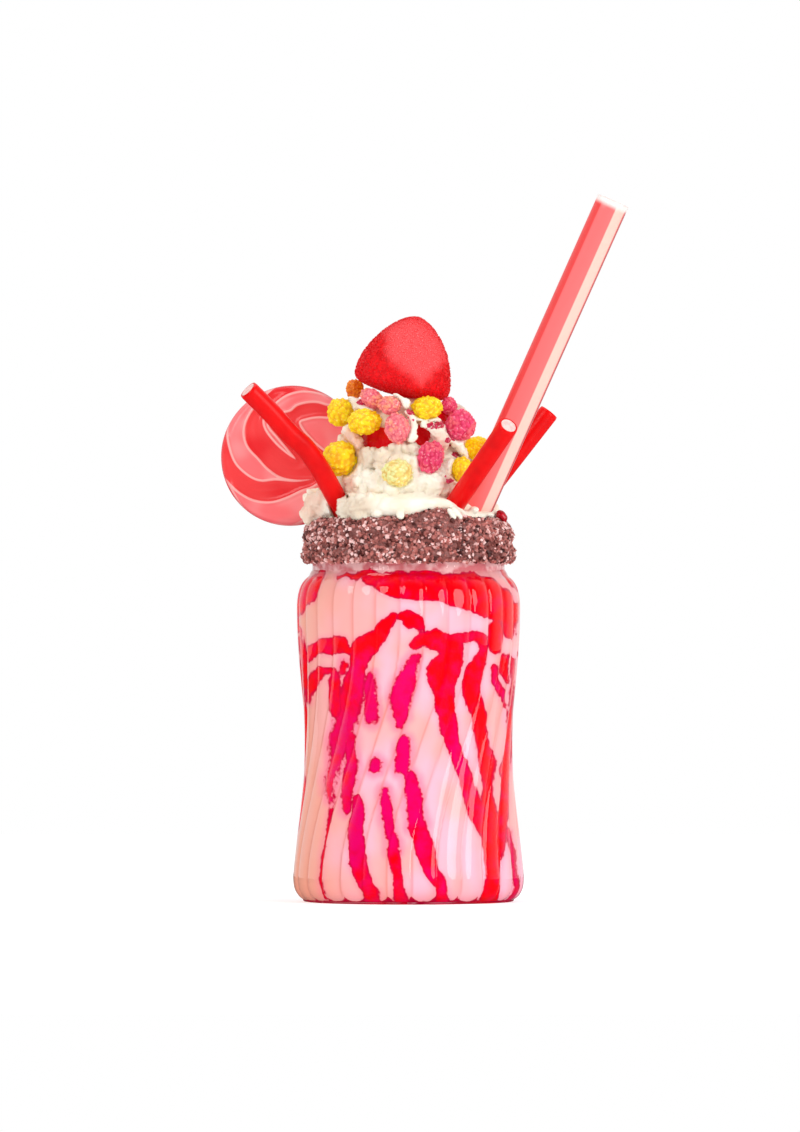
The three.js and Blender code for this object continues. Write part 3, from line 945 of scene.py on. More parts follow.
FRONT_RUNS: tuple[SyrupRun, ...] = (
    SyrupRun((
        (-15, 116.5, 2), (-10.5, 115, 2.5), (-5, 114, 3.7), (0.5, 113.5, 4.2), (6, 113.5, 4.8),
        (12, 113, 4.5), (17.5, 112, 5.3), (23, 111, 6.2), (28.5, 109, 6.2), (33, 106.5, 5.1),
        (36.5, 104.5, 3.4), (36, 100.5, 2.5), (36.5, 97, 1.7),
    )),
    SyrupRun((
        (-32, 117.5, 0.8), (-35, 113.5, 2.5), (-36.5, 110, 2.8), (-39, 106.5, 2), (-39.5, 103.5, 0.8),
    )),
    SyrupRun((
        (-26, 116, 0.4), (-23.5, 117, 0.4), (-21, 116, 0.8), (-18.5, 116.5, 1), (-16.5, 118, 0.8),
        (-14, 119, 0.6),
    )),
    SyrupRun((
        (-36, 87, 1), (-34.5, 90, 1.8), (-31, 92.5, 2.1), (-27, 92.5, 2.7), (-24, 92.5, 2.2),
        (-21.5, 90.5, 0.8),
    )),
    SyrupRun(((-39, 95, 0.6), (-38, 89, 0.7), (-37.5, 83.5, 0.8), (-37.5, 78, 0.7))),
    SyrupRun(((-36, 72.5, 0.7), (-36, 75.5, 1.2), (-34, 79, 2), (-31.5, 83, 1.7), (-28.5, 84, 0.8))),
    SyrupRun((
        (-27, 83.5, 1.1), (-26.5, 79, 2.1), (-26.5, 74.5, 2), (-26, 70, 1.7), (-26, 67.5, 0.8),
    ), tone=0.3),
    SyrupRun(((-22.5, 86.5, 0.7), (-23.5, 83, 0.8)), blur=0.5),
    SyrupRun((
        (-5, 103.5, 0.7), (-8, 100, 1.6), (-10.5, 96, 2.5), (-13.5, 93, 3.1), (-17.5, 91, 2.8),
        (-20.5, 90.5, 1.1),
    )),
    SyrupRun((
        (-17.5, 89, 3.1), (-18.5, 84.5, 2.5), (-19.5, 80, 3.4), (-20.5, 74.5, 3.7), (-21, 69.5, 3.1),
    ), tone=0.45),
    SyrupRun((
        (-21, 69.5, 3.1), (-23, 64, 3.4), (-25, 58.5, 3.1), (-25, 56, 2.8), (-26, 50.5, 2),
    ), blur=0.5, tone=0.7),
    SyrupRun(((-26, 50.5, 2), (-28, 45, 1.4), (-28.5, 39.5, 1.1), (-28, 37, 0.7)), blur=0.7, tone=0.6),
    SyrupRun(((-28, 34, 0.3), (-29.5, 22.5, 0.3), (-31, 14, 0.35), (-31.5, 8.5, 0.4), (-30.5, 2.5, 0.5))),
    SyrupRun((
        (-14, 81.5, 1.1), (-14, 76.5, 2), (-13.5, 71, 2.1), (-13.5, 66.5, 1.7), (-13, 65, 0.6),
    ), blur=0.5, tone=0.8),
    SyrupRun((
        (-4.5, 103, 0.4), (-0.5, 103.5, 1.7), (0.5, 101.5, 2.7), (3, 100.5, 2.2), (5, 99.5, 0.7),
    ), tone=0.05),
    SyrupRun((
        (3, 89, 0.8), (1, 84.5, 2), (-1, 79, 3.1), (-3, 73.5, 3.1), (-3, 68, 2.5), (-3, 64, 0.8),
    ), blur=0.45, tone=0.7),
    SyrupRun((
        (2, 92.5, 1.2), (5, 95, 2), (9, 95, 3.4), (12.5, 93.5, 3.4), (15, 91.5, 3.9), (15.5, 87, 3.4),
        (12.5, 83.5, 5.6), (12, 80, 4.5), (12.5, 76.5, 3.4), (13, 72.5, 2.8), (14, 66.5, 2.8),
    )),
    SyrupRun((
        (14, 66.5, 2.8), (14.5, 61, 2.4), (15.5, 57.5, 2), (18, 51.5, 2.2), (20, 46, 2.1),
        (21.5, 40.5, 2.5),
    ), tone=0.6),
    SyrupRun((
        (21.5, 40.5, 2.5), (23, 35.5, 2.8), (25.5, 30.5, 2.8), (27, 26, 1.7), (27, 21.5, 0.6),
    ), tone=0.4),
    SyrupRun((
        (15, 94.5, 1.4), (18.5, 95, 1.7), (23, 96, 1.4), (26, 95.5, 1.4), (27, 91.5, 1.4), (25.5, 87, 2),
    ), tone=0.4),
    SyrupRun((
        (25.5, 87, 2), (23, 82.5, 2.8), (22.5, 78, 2.8), (23.5, 72.5, 2.8), (25.5, 66.5, 2.2),
        (26, 61, 2.1), (26.5, 56, 2.2), (28.5, 50.5, 2.8), (28.5, 45, 2), (28, 38, 1.7),
        (28.5, 32.5, 2.2), (30, 26, 3.9), (30.5, 19, 3.1), (30, 11, 2.2), (30, 5.5, 2.5), (30, 1, 3.4),
    )),
    SyrupRun(((31, 99, 2), (31, 95, 2.5), (31, 91.5, 1.4))),
    SyrupRun((
        (37.5, 87, 0.1), (37.5, 80, 0.3), (37, 73.5, 0.5), (36.3, 66.5, 0.8), (36.2, 60, 0.8),
        (35.8, 55, 0.9), (34.5, 47.5, 1.8), (34.5, 42, 0.9), (34.5, 36.5, 1.1), (33.5, 30.5, 1.8),
        (32, 19, 1.8),
    )),
    SyrupRun(((34.5, 88, 1.1), (34, 83.5, 1.2), (35.5, 79.5, 0.7))),
    SyrupRun(((30.5, 84.5, 0.8), (31, 80, 1.1), (33.5, 75, 0.8), (34.5, 71, 0.4)), tone=0.6),
    SyrupRun((
        (-20.5, 60, 1.4), (-20.5, 50.5, 2.1), (-21, 45, 1.7), (-22, 39.5, 1.4), (-22, 33.5, 1),
    ), blur=0.4, tone=0.6),
    SyrupRun((
        (-18.5, 38, 1.2), (-18, 32.5, 2), (-18.5, 27, 2.2), (-18.5, 21.5, 2.5), (-18, 15, 2.8),
    ), tone=0.8),
    SyrupRun((
        (-18, 15, 2.8), (-16.5, 10, 2.5), (-14, 5.5, 2.2), (-13, 2, 2.5), (-13, 0.5, 3.4),
    ), tone=0.35),
    SyrupRun(((-11.5, 50.5, 1.5), (-12, 48.5, 1.6)), blur=0.4, tone=0.8),
    SyrupRun((
        (-8.5, 40.5, 1), (-8, 36, 1.6), (-7.5, 30.5, 1.6), (-6, 24.5, 1.6), (-5.5, 19, 1.7),
    ), blur=0.4, tone=0.9),
    SyrupRun((
        (-5.5, 19, 1.7), (-4.5, 13.5, 1.6), (-4, 8, 1.4), (-3, 2.5, 1.6), (-2.5, 0.5, 2.2),
    ), tone=0.3),
    SyrupRun((
        (-1.5, 58.5, 1.5), (-1.5, 53.5, 2.2), (-2.5, 49, 2.2), (-1.5, 46.5, 0.8),
    ), blur=0.45, tone=0.95),
    SyrupRun(((0.5, 45, 1.8), (1.5, 39.5, 2.2), (2, 33.5, 2.1), (3, 28, 2.8)), blur=0.35, tone=0.9),
    SyrupRun((
        (3, 28, 2.8), (4.5, 23, 3.1), (6.5, 18, 2.8), (8, 13, 2.2), (10.5, 8, 2), (12, 3.5, 1.7),
        (12.5, 1, 2.2),
    ), tone=0.4),
    SyrupRun((
        (36, 25, 0.8), (37, 19, 0.6), (38, 12.5, 0.35), (39, 6.5, 0.35), (39, 3.5, 0.6), (36.5, 1.5, 0.5),
    ), tone=0.7),
)


@dataclass
class Milkshake:
    """The drink, out to just inside the glass, with the syrup that has run down it."""

    jar: FlutedJar
    level: float = 128.0
    into_wall: float = 0.3
    columns: int = 370
    widen: float = 0.5
    seed: int = 11

    def back_runs(self) -> list[SyrupRun]:
        """Runs for the far side, in the manner of those in front."""
        chance = np.random.default_rng(self.seed)
        runs = []
        for right in np.linspace(-36, 36, 11):
            top = chance.uniform(84, 104)
            foot = chance.choice([0.5, 0.5, 28, 46])
            heights = np.linspace(top, foot, 7)
            wander = np.cumsum(chance.normal(0, 1.3, 7)) + chance.uniform(-0.04, 0.04) * (top - heights)
            widths = chance.uniform(1.0, 2.9, 7) * np.array([0.8, 1.3, 1.1, 1, 0.9, 0.8, 0.6])
            points = tuple(map(tuple, np.stack([right + wander, heights, widths], axis=1)))
            blur = float(chance.choice([0.22, 0.45]))
            runs.append(SyrupRun(points, blur, float(chance.uniform(0, 0.8)), from_behind=True))
            arch = [(right + dx, top - 1 + 3.2 * math.cos(dx / 4.2), 1.7) for dx in np.linspace(-1, 8, 5)]
            runs.append(SyrupRun(tuple(arch), from_behind=True))
        across = np.linspace(-40, 40, 15)
        band = [(x, 113 + 1.6 * math.sin(x / 9), 3 + 1.2 * math.sin(x / 6 + 1)) for x in across]
        return [*runs, SyrupRun(tuple(band), from_behind=True)]

    def cover(self, height: Points, bearing: Points) -> dict[str, Points]:
        """Where the syrup lies.

        Args:
            height: Height of each point of the surface.
            bearing: Its bearing.

        Returns:
            How far inside the syrup each point is, in blurs as syrup and in millimetres as depth, with its
            tone from red to magenta, and how much the shake is stained.
        """
        where = around(np.full(height.shape, self.jar.waist_radius), height, bearing)
        steady = np.maximum(np.abs(np.cos(bearing)), 0.2)
        sway = noises(where, (0.75, 7, 3), (0.5, 1.9, 5))
        up = height + noises(where, (0.9, 8, 21), (0.6, 2.2, 23))
        feather = noises(where * [1, 1, 0.3], (1.5, 1.3, 31))
        inside, deepest, stain = (np.full(height.shape, -40.0) for _ in range(3))
        tone, weight = np.zeros(height.shape), np.full(height.shape, 1e-9)
        for run in (*FRONT_RUNS, *self.back_runs()):
            points = np.array(run.points)
            turned = bearing - math.pi if run.from_behind else bearing
            turned = (turned + math.pi) % (2 * math.pi) - math.pi
            along = self.jar.seen_right(turned, height) + sway * steady
            for start, end in zip(points[:-1], points[1:]):
                step = end - start
                share = (along - start[0]) * step[0] + (up - start[1]) * step[1]
                share = np.clip(share / max(step[:2] @ step[:2], 1e-9), 0, 1)
                away = np.hypot(along - start[0] - share * step[0], up - start[1] - share * step[1])
                depth = self.widen + start[2] + share * step[2] - away + feather * min(run.blur, 0.6)
                inside = np.maximum(inside, depth / run.blur)
                deepest = np.maximum(deepest, depth)
                share = np.exp(np.minimum(depth, 3.0))
                tone += share * run.tone
                weight += share
                stain = np.maximum(stain, depth if run.blur > 0.3 else depth - 1.5)
        line = np.abs(self.jar.across_flute(height, bearing)) ** 3
        inside = np.maximum(inside, (1.3 + 1.7 * line - height) / 0.25)
        return {
            "syrup": np.clip(inside, -8, 12),
            "depth": np.clip(deepest, -3, 3),
            "tone": tone / weight,
            "stain": smoothstep(stain, -3.4, 0.2),
        }

    def flute_shade(self, height: Points, bearing: Points) -> Points:
        """How much each point is shaded by the flute in front of it: most just left of a seam."""
        across = self.jar.across_flute(height, bearing)
        return 0.7 * smoothstep(across, 0.1, 0.98) + 0.3 * smoothstep(-across, 0.75, 1.0)

    def build(self, finish: StreakedShake) -> bpy.types.Object:
        """Makes the drink.

        Args:
            finish: Finish of the drink.

        Returns:
            The drink.
        """
        inset = self.jar.wall - self.into_wall
        side = self.jar.outline(inset, self.jar.floor - self.into_wall, 52)
        neck = self.jar.neck_radius - inset
        up_neck = [(neck, z) for z in np.linspace(side[-1, 1] + 0.6, self.level, 12)]
        profile = np.vstack([[(0.01, side[0, 1])], side, up_neck, [(0.01, self.level)]])
        bearing = full_turn(self.columns)
        rings = around(profile[:, :1], profile[:, 1:2], bearing)
        turn = np.tile(bearing, len(profile))
        shown = np.append(self.jar.seen_height(profile[:-1]), self.level)
        tags = self.cover(np.repeat(shown, self.columns), turn)
        # Painted shade from the flutes in front.
        tags["flute"] = self.flute_shade(np.repeat(profile[:, 1], self.columns), turn)
        points, faces = rings_to_shell(rings)
        drink = solid("milkshake_in_jar", points, faces, tags)
        return settle(drink, finish.material(), "milkshake", "milkshake")


@dataclass
class CrumbRing:
    """Ring of sugar crumbs round the rim: a rough crust and the loose grains on it."""

    against_glass: float = 34.8
    inner: float = 31.9
    bevel: float = 1.4
    top: float = 137.6
    over_rim: float = 136.2
    # Where the crumbs are heaped higher under the cream: bearing and spread in degrees, and how much higher.
    heaped: Triple = (17, 17, 3.4)
    grains: int = 5200
    seed: int = 5

    def profile(self) -> Points:
        """Radius and height up the outside and over the top."""
        lower = [(35.4, 122.9), (37.0, 122.3), (38.0, 124.6), (36.8, 128.6), (37.2, 131.4)]
        upper = [(36.4, 134.4), (34.6, 136.7), (33.2, self.top), (self.inner, self.top - 0.3)]
        return smooth_path([*lower, *upper], 54)

    def lumps(self, points: Points) -> Points:
        """How far the crust stands out at each point, in millimetres."""
        return 0.7 * layered_noise(points, 3.4, 31)

    def raised(self, points: Points) -> Points:
        """The points, lifted where the crumbs are heaped higher."""
        middle, spread, rise = self.heaped
        off = (np.degrees(np.arctan2(points[:, 0], -points[:, 1])) - middle) / spread
        share = smoothstep(points[:, 2], 133, self.top)
        return points + np.outer(rise * share * np.exp(-(off**2)), [0, 0, 1])

    def build(self, finish: SugarCrumbs) -> list[bpy.types.Object]:
        """Makes the crust and the grains.

        Args:
            finish: Finish of the crumbs.

        Returns:
            The two pieces.
        """
        skin = self.profile()
        glass, over = self.against_glass, self.over_rim
        back = [(self.inner, over), (glass - self.bevel, over), (glass, over - self.bevel), (glass, 123.3)]
        profile = np.vstack([skin, back, skin[:1]])
        bearing = full_turn(440)
        points, faces = rings_to_shell(around(profile[:, :1], profile[:, 1:2], bearing))
        outward = points * [1, 1, 0]
        outward /= np.linalg.norm(outward, axis=1, keepdims=True)
        free = np.zeros(len(profile))
        free[1 : len(skin) - 1] = 1
        swell = self.lumps(points) + 0.45 * layered_noise(points, 1.2, 37)
        points = points + outward * (swell * np.repeat(free, len(bearing)))[:, None]
        crust = solid("crumb_crust", self.raised(points), faces)
        settle(crust, finish.material("crumb_crust", tagged=False), "crumb_coating", "crumb_coating")
        chance = np.random.default_rng(self.seed)
        place = chance.uniform(0, len(skin) - 1.001, self.grains)
        row = place.astype(int)
        spot = skin[row] + (skin[row + 1] - skin[row]) * (place - row)[:, None]
        turn = chance.uniform(0, 2 * math.pi, self.grains)
        centres = around(spot[:, 0], spot[:, 1], turn)
        lift = self.lumps(centres) + chance.uniform(-0.3, 0.35, self.grains)
        centres += around(lift, np.zeros(self.grains), turn)
        sizes = chance.uniform(0.32, 0.78, self.grains)
        # Grains in the crust's hollows are painted darker as shade; the rest of their tone is random.
        patch = 0.24 * layered_noise(centres, 5, 83) - 0.3 * smoothstep(-self.lumps(centres), 0, 0.6)
        shades = np.clip(chance.normal(0.54, 0.33, self.grains) + patch, 0, 1)
        centres = self.raised(centres)
        loose = small_solids("crumb_grains", Grain.CRYSTAL, centres, sizes, self.seed, {"shade": shades})
        return [crust, settle(loose, finish.material("crumb_grains", tagged=True), "crumb_coating")]


@dataclass(frozen=True)
class Dollop:
    """Round lump of cream: its centre, its half sizes and its lean to the right in degrees."""

    centre: Triple
    half: Triple
    lean: float = 0.0

    def shell(self) -> tuple[Points, Points]:
        """Corners and faces."""
        polar = np.linspace(0.01, math.pi - 0.01, 22)[:, None]
        bearing = full_turn(32)
        ball = around(np.sin(polar), -np.cos(polar), bearing) * self.half
        return rings_to_shell(lean_right(ball, self.lean) + self.centre)


@dataclass(frozen=True)
class Rope:
    """Run of cream, rounded off at both ends. Each point holds a place on its middle and the radius there."""

    points: Sequence[Sequence[float]]
    ridges: int = 5
    depth: float = 0.0

    def shell(self) -> tuple[Points, Points]:
        """Corners and faces."""
        marks = np.array(self.points, float)
        length = np.sum(np.linalg.norm(np.diff(marks[:, :3], axis=0), axis=1))
        run = smooth_path(marks, max(14, round(1.5 * length)))
        along = np.linspace(0, length, len(run))
        left = np.clip(np.minimum(along, length - along) / run[:, 3], 0, 1)
        radius = run[:, 3] * np.sqrt(np.clip(left * (2 - left), 0.0004, 1))
        columns = max(12, round(7 * marks[:, 3].max()))
        turn = full_turn(columns)
        star = 1 + self.depth * np.cos(self.ridges * turn + 0.12 * along[:, None])
        return rings_to_shell(rings_along(run[:, :3], radius[:, None] * star, columns))


@dataclass(frozen=True)
class Ruffle:
    """Band of small torn lumps of cream.

    Bearings are in degrees, and distances from the axis, heights and sizes in millimetres.
    """

    bearings: tuple[float, float]
    distance: float
    heights: tuple[float, float]
    count: int
    size: float

    def lumps(self, chance: np.random.Generator) -> list[Dollop]:
        """The lumps, scattered over the band."""
        made = []
        for turn in np.radians(chance.uniform(*self.bearings, self.count)):
            height = chance.uniform(*self.heights)
            where = around(self.distance + chance.normal(0, 0.6), height, np.array(turn))
            half = self.size * chance.uniform((0.5, 0.5, 0.8), (1.2, 0.9, 1.7))
            made.append(Dollop(tuple(where), tuple(half), chance.uniform(-60, 60)))
        return made


@dataclass
class CreamHeap:
    """Whipped cream, heaped in layers from the rim to a point, torn in places and stained with sauce."""

    voxel: float = 0.48
    seed: int = 17
    sunk: float = 3.8
    heap: Rows = (
        (33.6, 139.2), (33.4, 143.5), (27, 148.5), (24.6, 154), (23.7, 161), (22.4, 169), (19, 176),
        (12, 180.6), (0, 181.6),
    )
    # Each lobe: its bearing and spread in degrees, its height and half height, and how far it stands out.
    lobes: Rows = (
        (-80, 24, 143.5, 5, 4.5), (-75, 38, 178, 5, 4.5), (57, 26, 145.5, 4.5, -6),
    )
    # Each run of the rim's rope: rows of bearing in degrees, distance from the axis, height and radius.
    rim_ropes: tuple[Rows, ...] = (
        (
            (60, 29.6, 138, 2.6), (95, 29.6, 139.6, 3.8), (130, 29.5, 140.4, 4.2),
            (180, 29.5, 140.5, 4.3), (235, 29.5, 140.5, 4.3), (256, 31, 141.5, 5), (274, 32.2, 142, 5.2),
            (284, 31.2, 140.8, 4.6), (292, 30, 139, 3),
        ),
        (
            (-57, 29, 141, 3.4), (-50, 29.2, 141.6, 4.6), (-40, 29.2, 141.4, 4.9),
            (-30, 29.2, 141.6, 4.9), (-19, 28.6, 141.8, 4.4), (-10, 28, 141.8, 3.8),
        ),
        (
            (-20.5, 31.4, 141.9, 3.3), (-10, 31.6, 142, 3.5), (0, 31.4, 142.1, 3.3),
            (8, 31.2, 142.7, 2.8), (18, 30.8, 143.1, 2.3), (25, 30.6, 142.9, 1.9), (31, 30.6, 141.9, 1.4),
            (37, 30.6, 140.6, 1.1), (42, 30.4, 139.6, 0.8),
        ),
        (
            (36, 29.6, 139, 2.2), (48, 30, 138.3, 2.4), (62, 30.2, 137.9, 2.4),
        ),
    )
    # Each row: distance from the axis, height and radius of a rope right round the heap.
    layers: Rows = ((18.8, 149.6, 6.4), (18.2, 158.2, 4.5))
    # Each strand: rows of how far right and back, height and radius.
    strands: tuple[Rows, ...] = (
        (
            (-5.6, -19, 182.2, 0.7), (-3.4, -20.5, 181.2, 0.8), (-1, -21.4, 179.2, 0.9),
            (-0.4, -21.8, 177.4, 0.8),
        ),
        (
            (-0.9, -21.6, 176.6, 0.7), (1.2, -22.6, 173.8, 0.9), (2.3, -23, 170.4, 1.0),
            (0.9, -23, 165.6, 1.1),
        ),
        (
            (1.2, -21.4, 174.2, 0.8), (4.2, -20.8, 174.0, 1.1), (7.9, -19.8, 174.2, 1.1),
            (11.2, -17.6, 172.6, 0.9),
        ),
        ((4.4, -20.8, 172, 1.2), (8, -21, 170.2, 1.7), (11.2, -20.6, 167, 2.2), (12.8, -20, 162.6, 2.2)),
        (
            (10.8, -19.9, 171, 1.1), (14.2, -18.6, 168.2, 1.2), (17.4, -16.6, 164.9, 1.3),
            (21.4, -12, 160.3, 1.2),
        ),
        (
            (-22.4, -10, 171, 1.6), (-21, -11.6, 168.4, 2.2), (-19.2, -14, 165.2, 2.4),
            (-18.4, -15, 161.8, 2.2),
        ),
        (
            (-20.6, -9, 181, 1.2), (-18.2, -11, 178.9, 1.6), (-15.4, -14, 177.4, 1.4),
            (-13, -16.5, 176.4, 1.0),
        ),
        ((15.6, -28.6, 142, 0.9), (17.2, -29.6, 139.8, 1.2), (19.2, -30.4, 137.4, 0.8)),
        ((14, -30.6, 141.4, 0.9), (15.6, -31.6, 139.2, 0.9), (17, -32, 137.6, 0.6)),
        ((-3.6, -34.2, 140.4, 1.3), (-2.8, -35.2, 138.6, 1.3), (-2.6, -35.6, 137.4, 0.8)),
    )
    dollops: tuple[Dollop, ...] = (
        Dollop((-35.6, -4, 139.4), (3.0, 5, 4.2)),
        Dollop((-31.5, -8, 143.6), (4.4, 4.5, 3.6), -20),
        Dollop((-22.6, -22.6, 139.4), (2.4, 2.2, 2.4), 20),
        Dollop((-17.4, -27.4, 138.6), (3.0, 2.2, 1.8), -10),
        Dollop((-23.6, -20.4, 143.2), (1.9, 1.8, 2.0)),
        Dollop((-20.4, -24, 145), (2.3, 2, 1.4), 15),
        Dollop((-14.6, -28, 144.2), (2.6, 2, 1.6), -20),
        Dollop((-11.2, -30.6, 139.6), (2.4, 2, 1.7), 10),
        Dollop((23.4, -21.6, 141), (2.0, 2.0, 1.4)),
        Dollop((28.2, -15.4, 139.4), (2.8, 2.4, 0.9), 8),
        Dollop((-21.3, -16.4, 173.9), (1.5, 1.5, 1.3)),
        Dollop((9.5, -22.5, 150.4), (4.6, 3, 3.2), -24),
    )
    ruffles: tuple[Ruffle, ...] = (
        Ruffle((-14, 18), 22.2, (161, 163.4), 10, 1.8),
        Ruffle((-52, -10), 22.2, (159.6, 162), 12, 1.7),
        Ruffle((-56, 26), 22.4, (156, 160), 22, 2.2),
        Ruffle((-60, 46), 23.6, (150.6, 156), 30, 2.5),
        Ruffle((-60, -12), 24.6, (146.4, 151), 16, 2.4),
        Ruffle((14, 46), 24.4, (147, 153), 12, 2.1),
        Ruffle((-56, -24), 31.6, (138, 145.4), 22, 1.7),
        Ruffle((-112, -72), 34.2, (139, 146), 16, 2.1),
        Ruffle((60, 300), 23.4, (146, 157), 60, 2.5),
        Ruffle((70, 285), 22, (157, 166), 44, 2.3),
        Ruffle((90, 270), 18.4, (168, 177), 30, 2.1),
        Ruffle((95, 250), 32, (138.4, 144.6), 36, 2.1),
    )
    tear: float = 1.1
    # Each spot of sauce: how far right, its height, and half its width and height.
    sauce_spots: Rows = (
        (-10.5, 166, 7.6, 4.6), (4.9, 167.4, 3.2, 4.6), (12.2, 174, 2.4, 2.4), (17, 160.6, 1.1, 1.3),
        (14.6, 151.4, 1.1, 1.2), (-2.4, 181, 2.4, 1.6), (-17, 180, 1.2, 1.2),
    )
    # Each blush: how far right, its height, half its width and height, and how strong it is. Those on the
    # left are painted shade.
    blush_and_shade_marks: Rows = (
        (11.4, 164.4, 5.6, 8, 0.7), (15, 150, 5, 6, 0.6), (-21.6, 149.5, 3, 5, 0.5),
        (-20, 166, 6, 8, 0.9), (-35, 142, 7, 8, 0.6),
    )
    # Each part in shade, given in the same way.
    shaded: Rows = (
        (-35, 142, 7, 8, 0.4), (-19, 141.5, 10, 6.5, 0.95), (-15, 160, 9, 7, 0.85),
        (-3, 162.5, 10, 3.5, 0.8), (-10, 152.5, 8, 4, 0.15),
    )
    # The lobe in front of the left pencil covers it to the right of this place and below this height.
    lobe_over: tuple[float, float] = (-25.4, 145.4)
    # Height from which each piece that leans out shows, and its radius.
    clear_from: tuple[tuple[str, float, float], ...] = (
        ("left", 137.8, 3.7),
        ("front", 143.0, 3.7),
        ("straw", 140.4, 6.0),
    )

    def lobe(self, height: Points, bearing: Points) -> Points:
        """How far the heap stands out at each place, in millimetres."""
        out = np.zeros(np.broadcast_shapes(height.shape, bearing.shape))
        for turn, spread, middle, rise, reach in self.lobes:
            off = 2 * np.sin((bearing - math.radians(turn)) / 2) / math.radians(spread)
            out = out + reach * np.exp(-(off**2) - ((height - middle) / rise) ** 2)
        return out

    def core(self) -> tuple[Points, Points]:
        """Corners and faces of the plain heap under the layers."""
        side = smooth_path(self.heap, 70)
        inside = np.maximum(side[:, :1] - self.sunk * np.clip(side[:, :1] / 8, 0, 1), 0.01)
        profile = np.vstack([[(0.01, 133), (30.6, 133), (30.6, 138)], np.hstack([inside, side[:, 1:2]])])
        bearing = full_turn(120)
        height = profile[:, 1:2]
        radius = profile[:, :1] + self.lobe(height, bearing) * (profile[:, :1] > 3) * (height > 139.3)
        return rings_to_shell(around(np.maximum(radius, 0.01), height, bearing))

    def ropes(self) -> list[Rope]:
        """The ropes round the rim, and those of the layers, which wander a little."""
        ropes = []
        for run in self.rim_ropes:
            marks = np.array(run)
            path = around(marks[:, 1], marks[:, 2], np.radians(marks[:, 0]))
            ropes.append(Rope(np.hstack([path, marks[:, 3:]]), ridges=4, depth=0.05))
        turn = np.linspace(-math.pi, math.pi, 40)
        for distance, height, radius in self.layers:
            radii = radius * (1 + 0.06 * np.cos(5 * turn + height))
            path = around(distance + 0 * turn, height + 0.9 * np.cos(3 * turn + height), turn)
            ropes.append(Rope(np.hstack([path, radii[:, None]]), depth=0.08))
        return ropes

    def torn(self, place: Points) -> Points:
        """How torn the cream is at each place, from 0 to 1."""
        height = place[:, 2]
        turn = np.degrees(np.arctan2(place[:, 0], -place[:, 1]))
        upper = smoothstep(height, 145, 148) * (1 - 0.5 * smoothstep(height, 170, 176))
        left = smoothstep(-turn, 20, 27) * (1 - smoothstep(-turn, 112, 130))
        behind = smoothstep(np.abs(turn), 90, 110)
        return np.maximum(upper, 0.9 * np.maximum(left, behind)) * smoothstep(height, 136, 138)

    def skin(self) -> bpy.types.Mesh:
        """One closed skin round all the cream."""
        points, faces = [], []
        chance = np.random.default_rng(self.seed)
        torn = itertools.chain.from_iterable(ruffle.lumps(chance) for ruffle in self.ruffles)
        parts = (*self.ropes(), *map(Rope, self.strands), *self.dollops, *torn)
        for corners, quads in (self.core(), *(part.shell() for part in parts)):
            faces.append(quads + sum(len(p) for p in points))
            points.append(corners)
        joined = np.vstack(points)
        pull = np.stack([layered_noise(joined, 2.6, seed) for seed in (101, 103, 107)], axis=1)
        pull *= self.tear * self.torn(joined)[:, None]
        rough = solid("rough_cream", joined + pull, np.vstack(faces))
        remesh = rough.modifiers.new("skin", "REMESH")
        remesh.mode = "VOXEL"
        remesh.voxel_size = self.voxel * MM
        bpy.context.view_layer.update()
        skin = bpy.data.meshes.new_from_object(rough.evaluated_get(bpy.context.evaluated_depsgraph_get()))
        bpy.data.objects.remove(rough)
        return skin

    def spots(self, place: Points, marks: Sequence[Sequence[float]]) -> Points:
        """How far inside the nearest of some oval marks on the front each place is, from 1 at its middle."""
        best = np.full(len(place), -9.0)
        for right, height, wide, tall in marks:
            away = np.hypot((place[:, 0] - right) / wide, (place[:, 2] - height) / tall)
            best = np.maximum(best, np.where(place[:, 1] < 0, 1 - away, -9))
        return best

    def marked(self, place: Points, marks: Rows) -> Points:
        """How strongly oval marks on the front show at each place. Each mark ends with its strength."""
        ovals = (self.spots(place, [mark[:-1]]) for mark in marks)
        shown = [mark[-1] * smoothstep(oval, 0, 0.7) for mark, oval in zip(marks, ovals)]
        return np.max(shown, axis=0)

    def sauce(self, place: Points, proud: Points) -> Points:
        """How far inside the sauce each place is, in millimetres.

        Args:
            place: Places on the cream.
            proud: How far each stands out of the heap.

        Returns:
            Distances, below 0 outside the sauce.
        """
        chance = np.random.default_rng(3)
        inside = 2.6 * self.spots(place, self.sauce_spots)
        for _ in range(9):
            bearing = chance.uniform(math.radians(95), math.radians(265))
            spot = np.array([16 * math.sin(bearing), -16 * math.cos(bearing), chance.uniform(160, 174)])
            inside = np.maximum(inside, chance.uniform(6, 8) - np.linalg.norm(place - spot, axis=1))
        return inside + 0.8 * layered_noise(place, 3, 53) - 4 * smoothstep(proud, 0.4, 1.6)

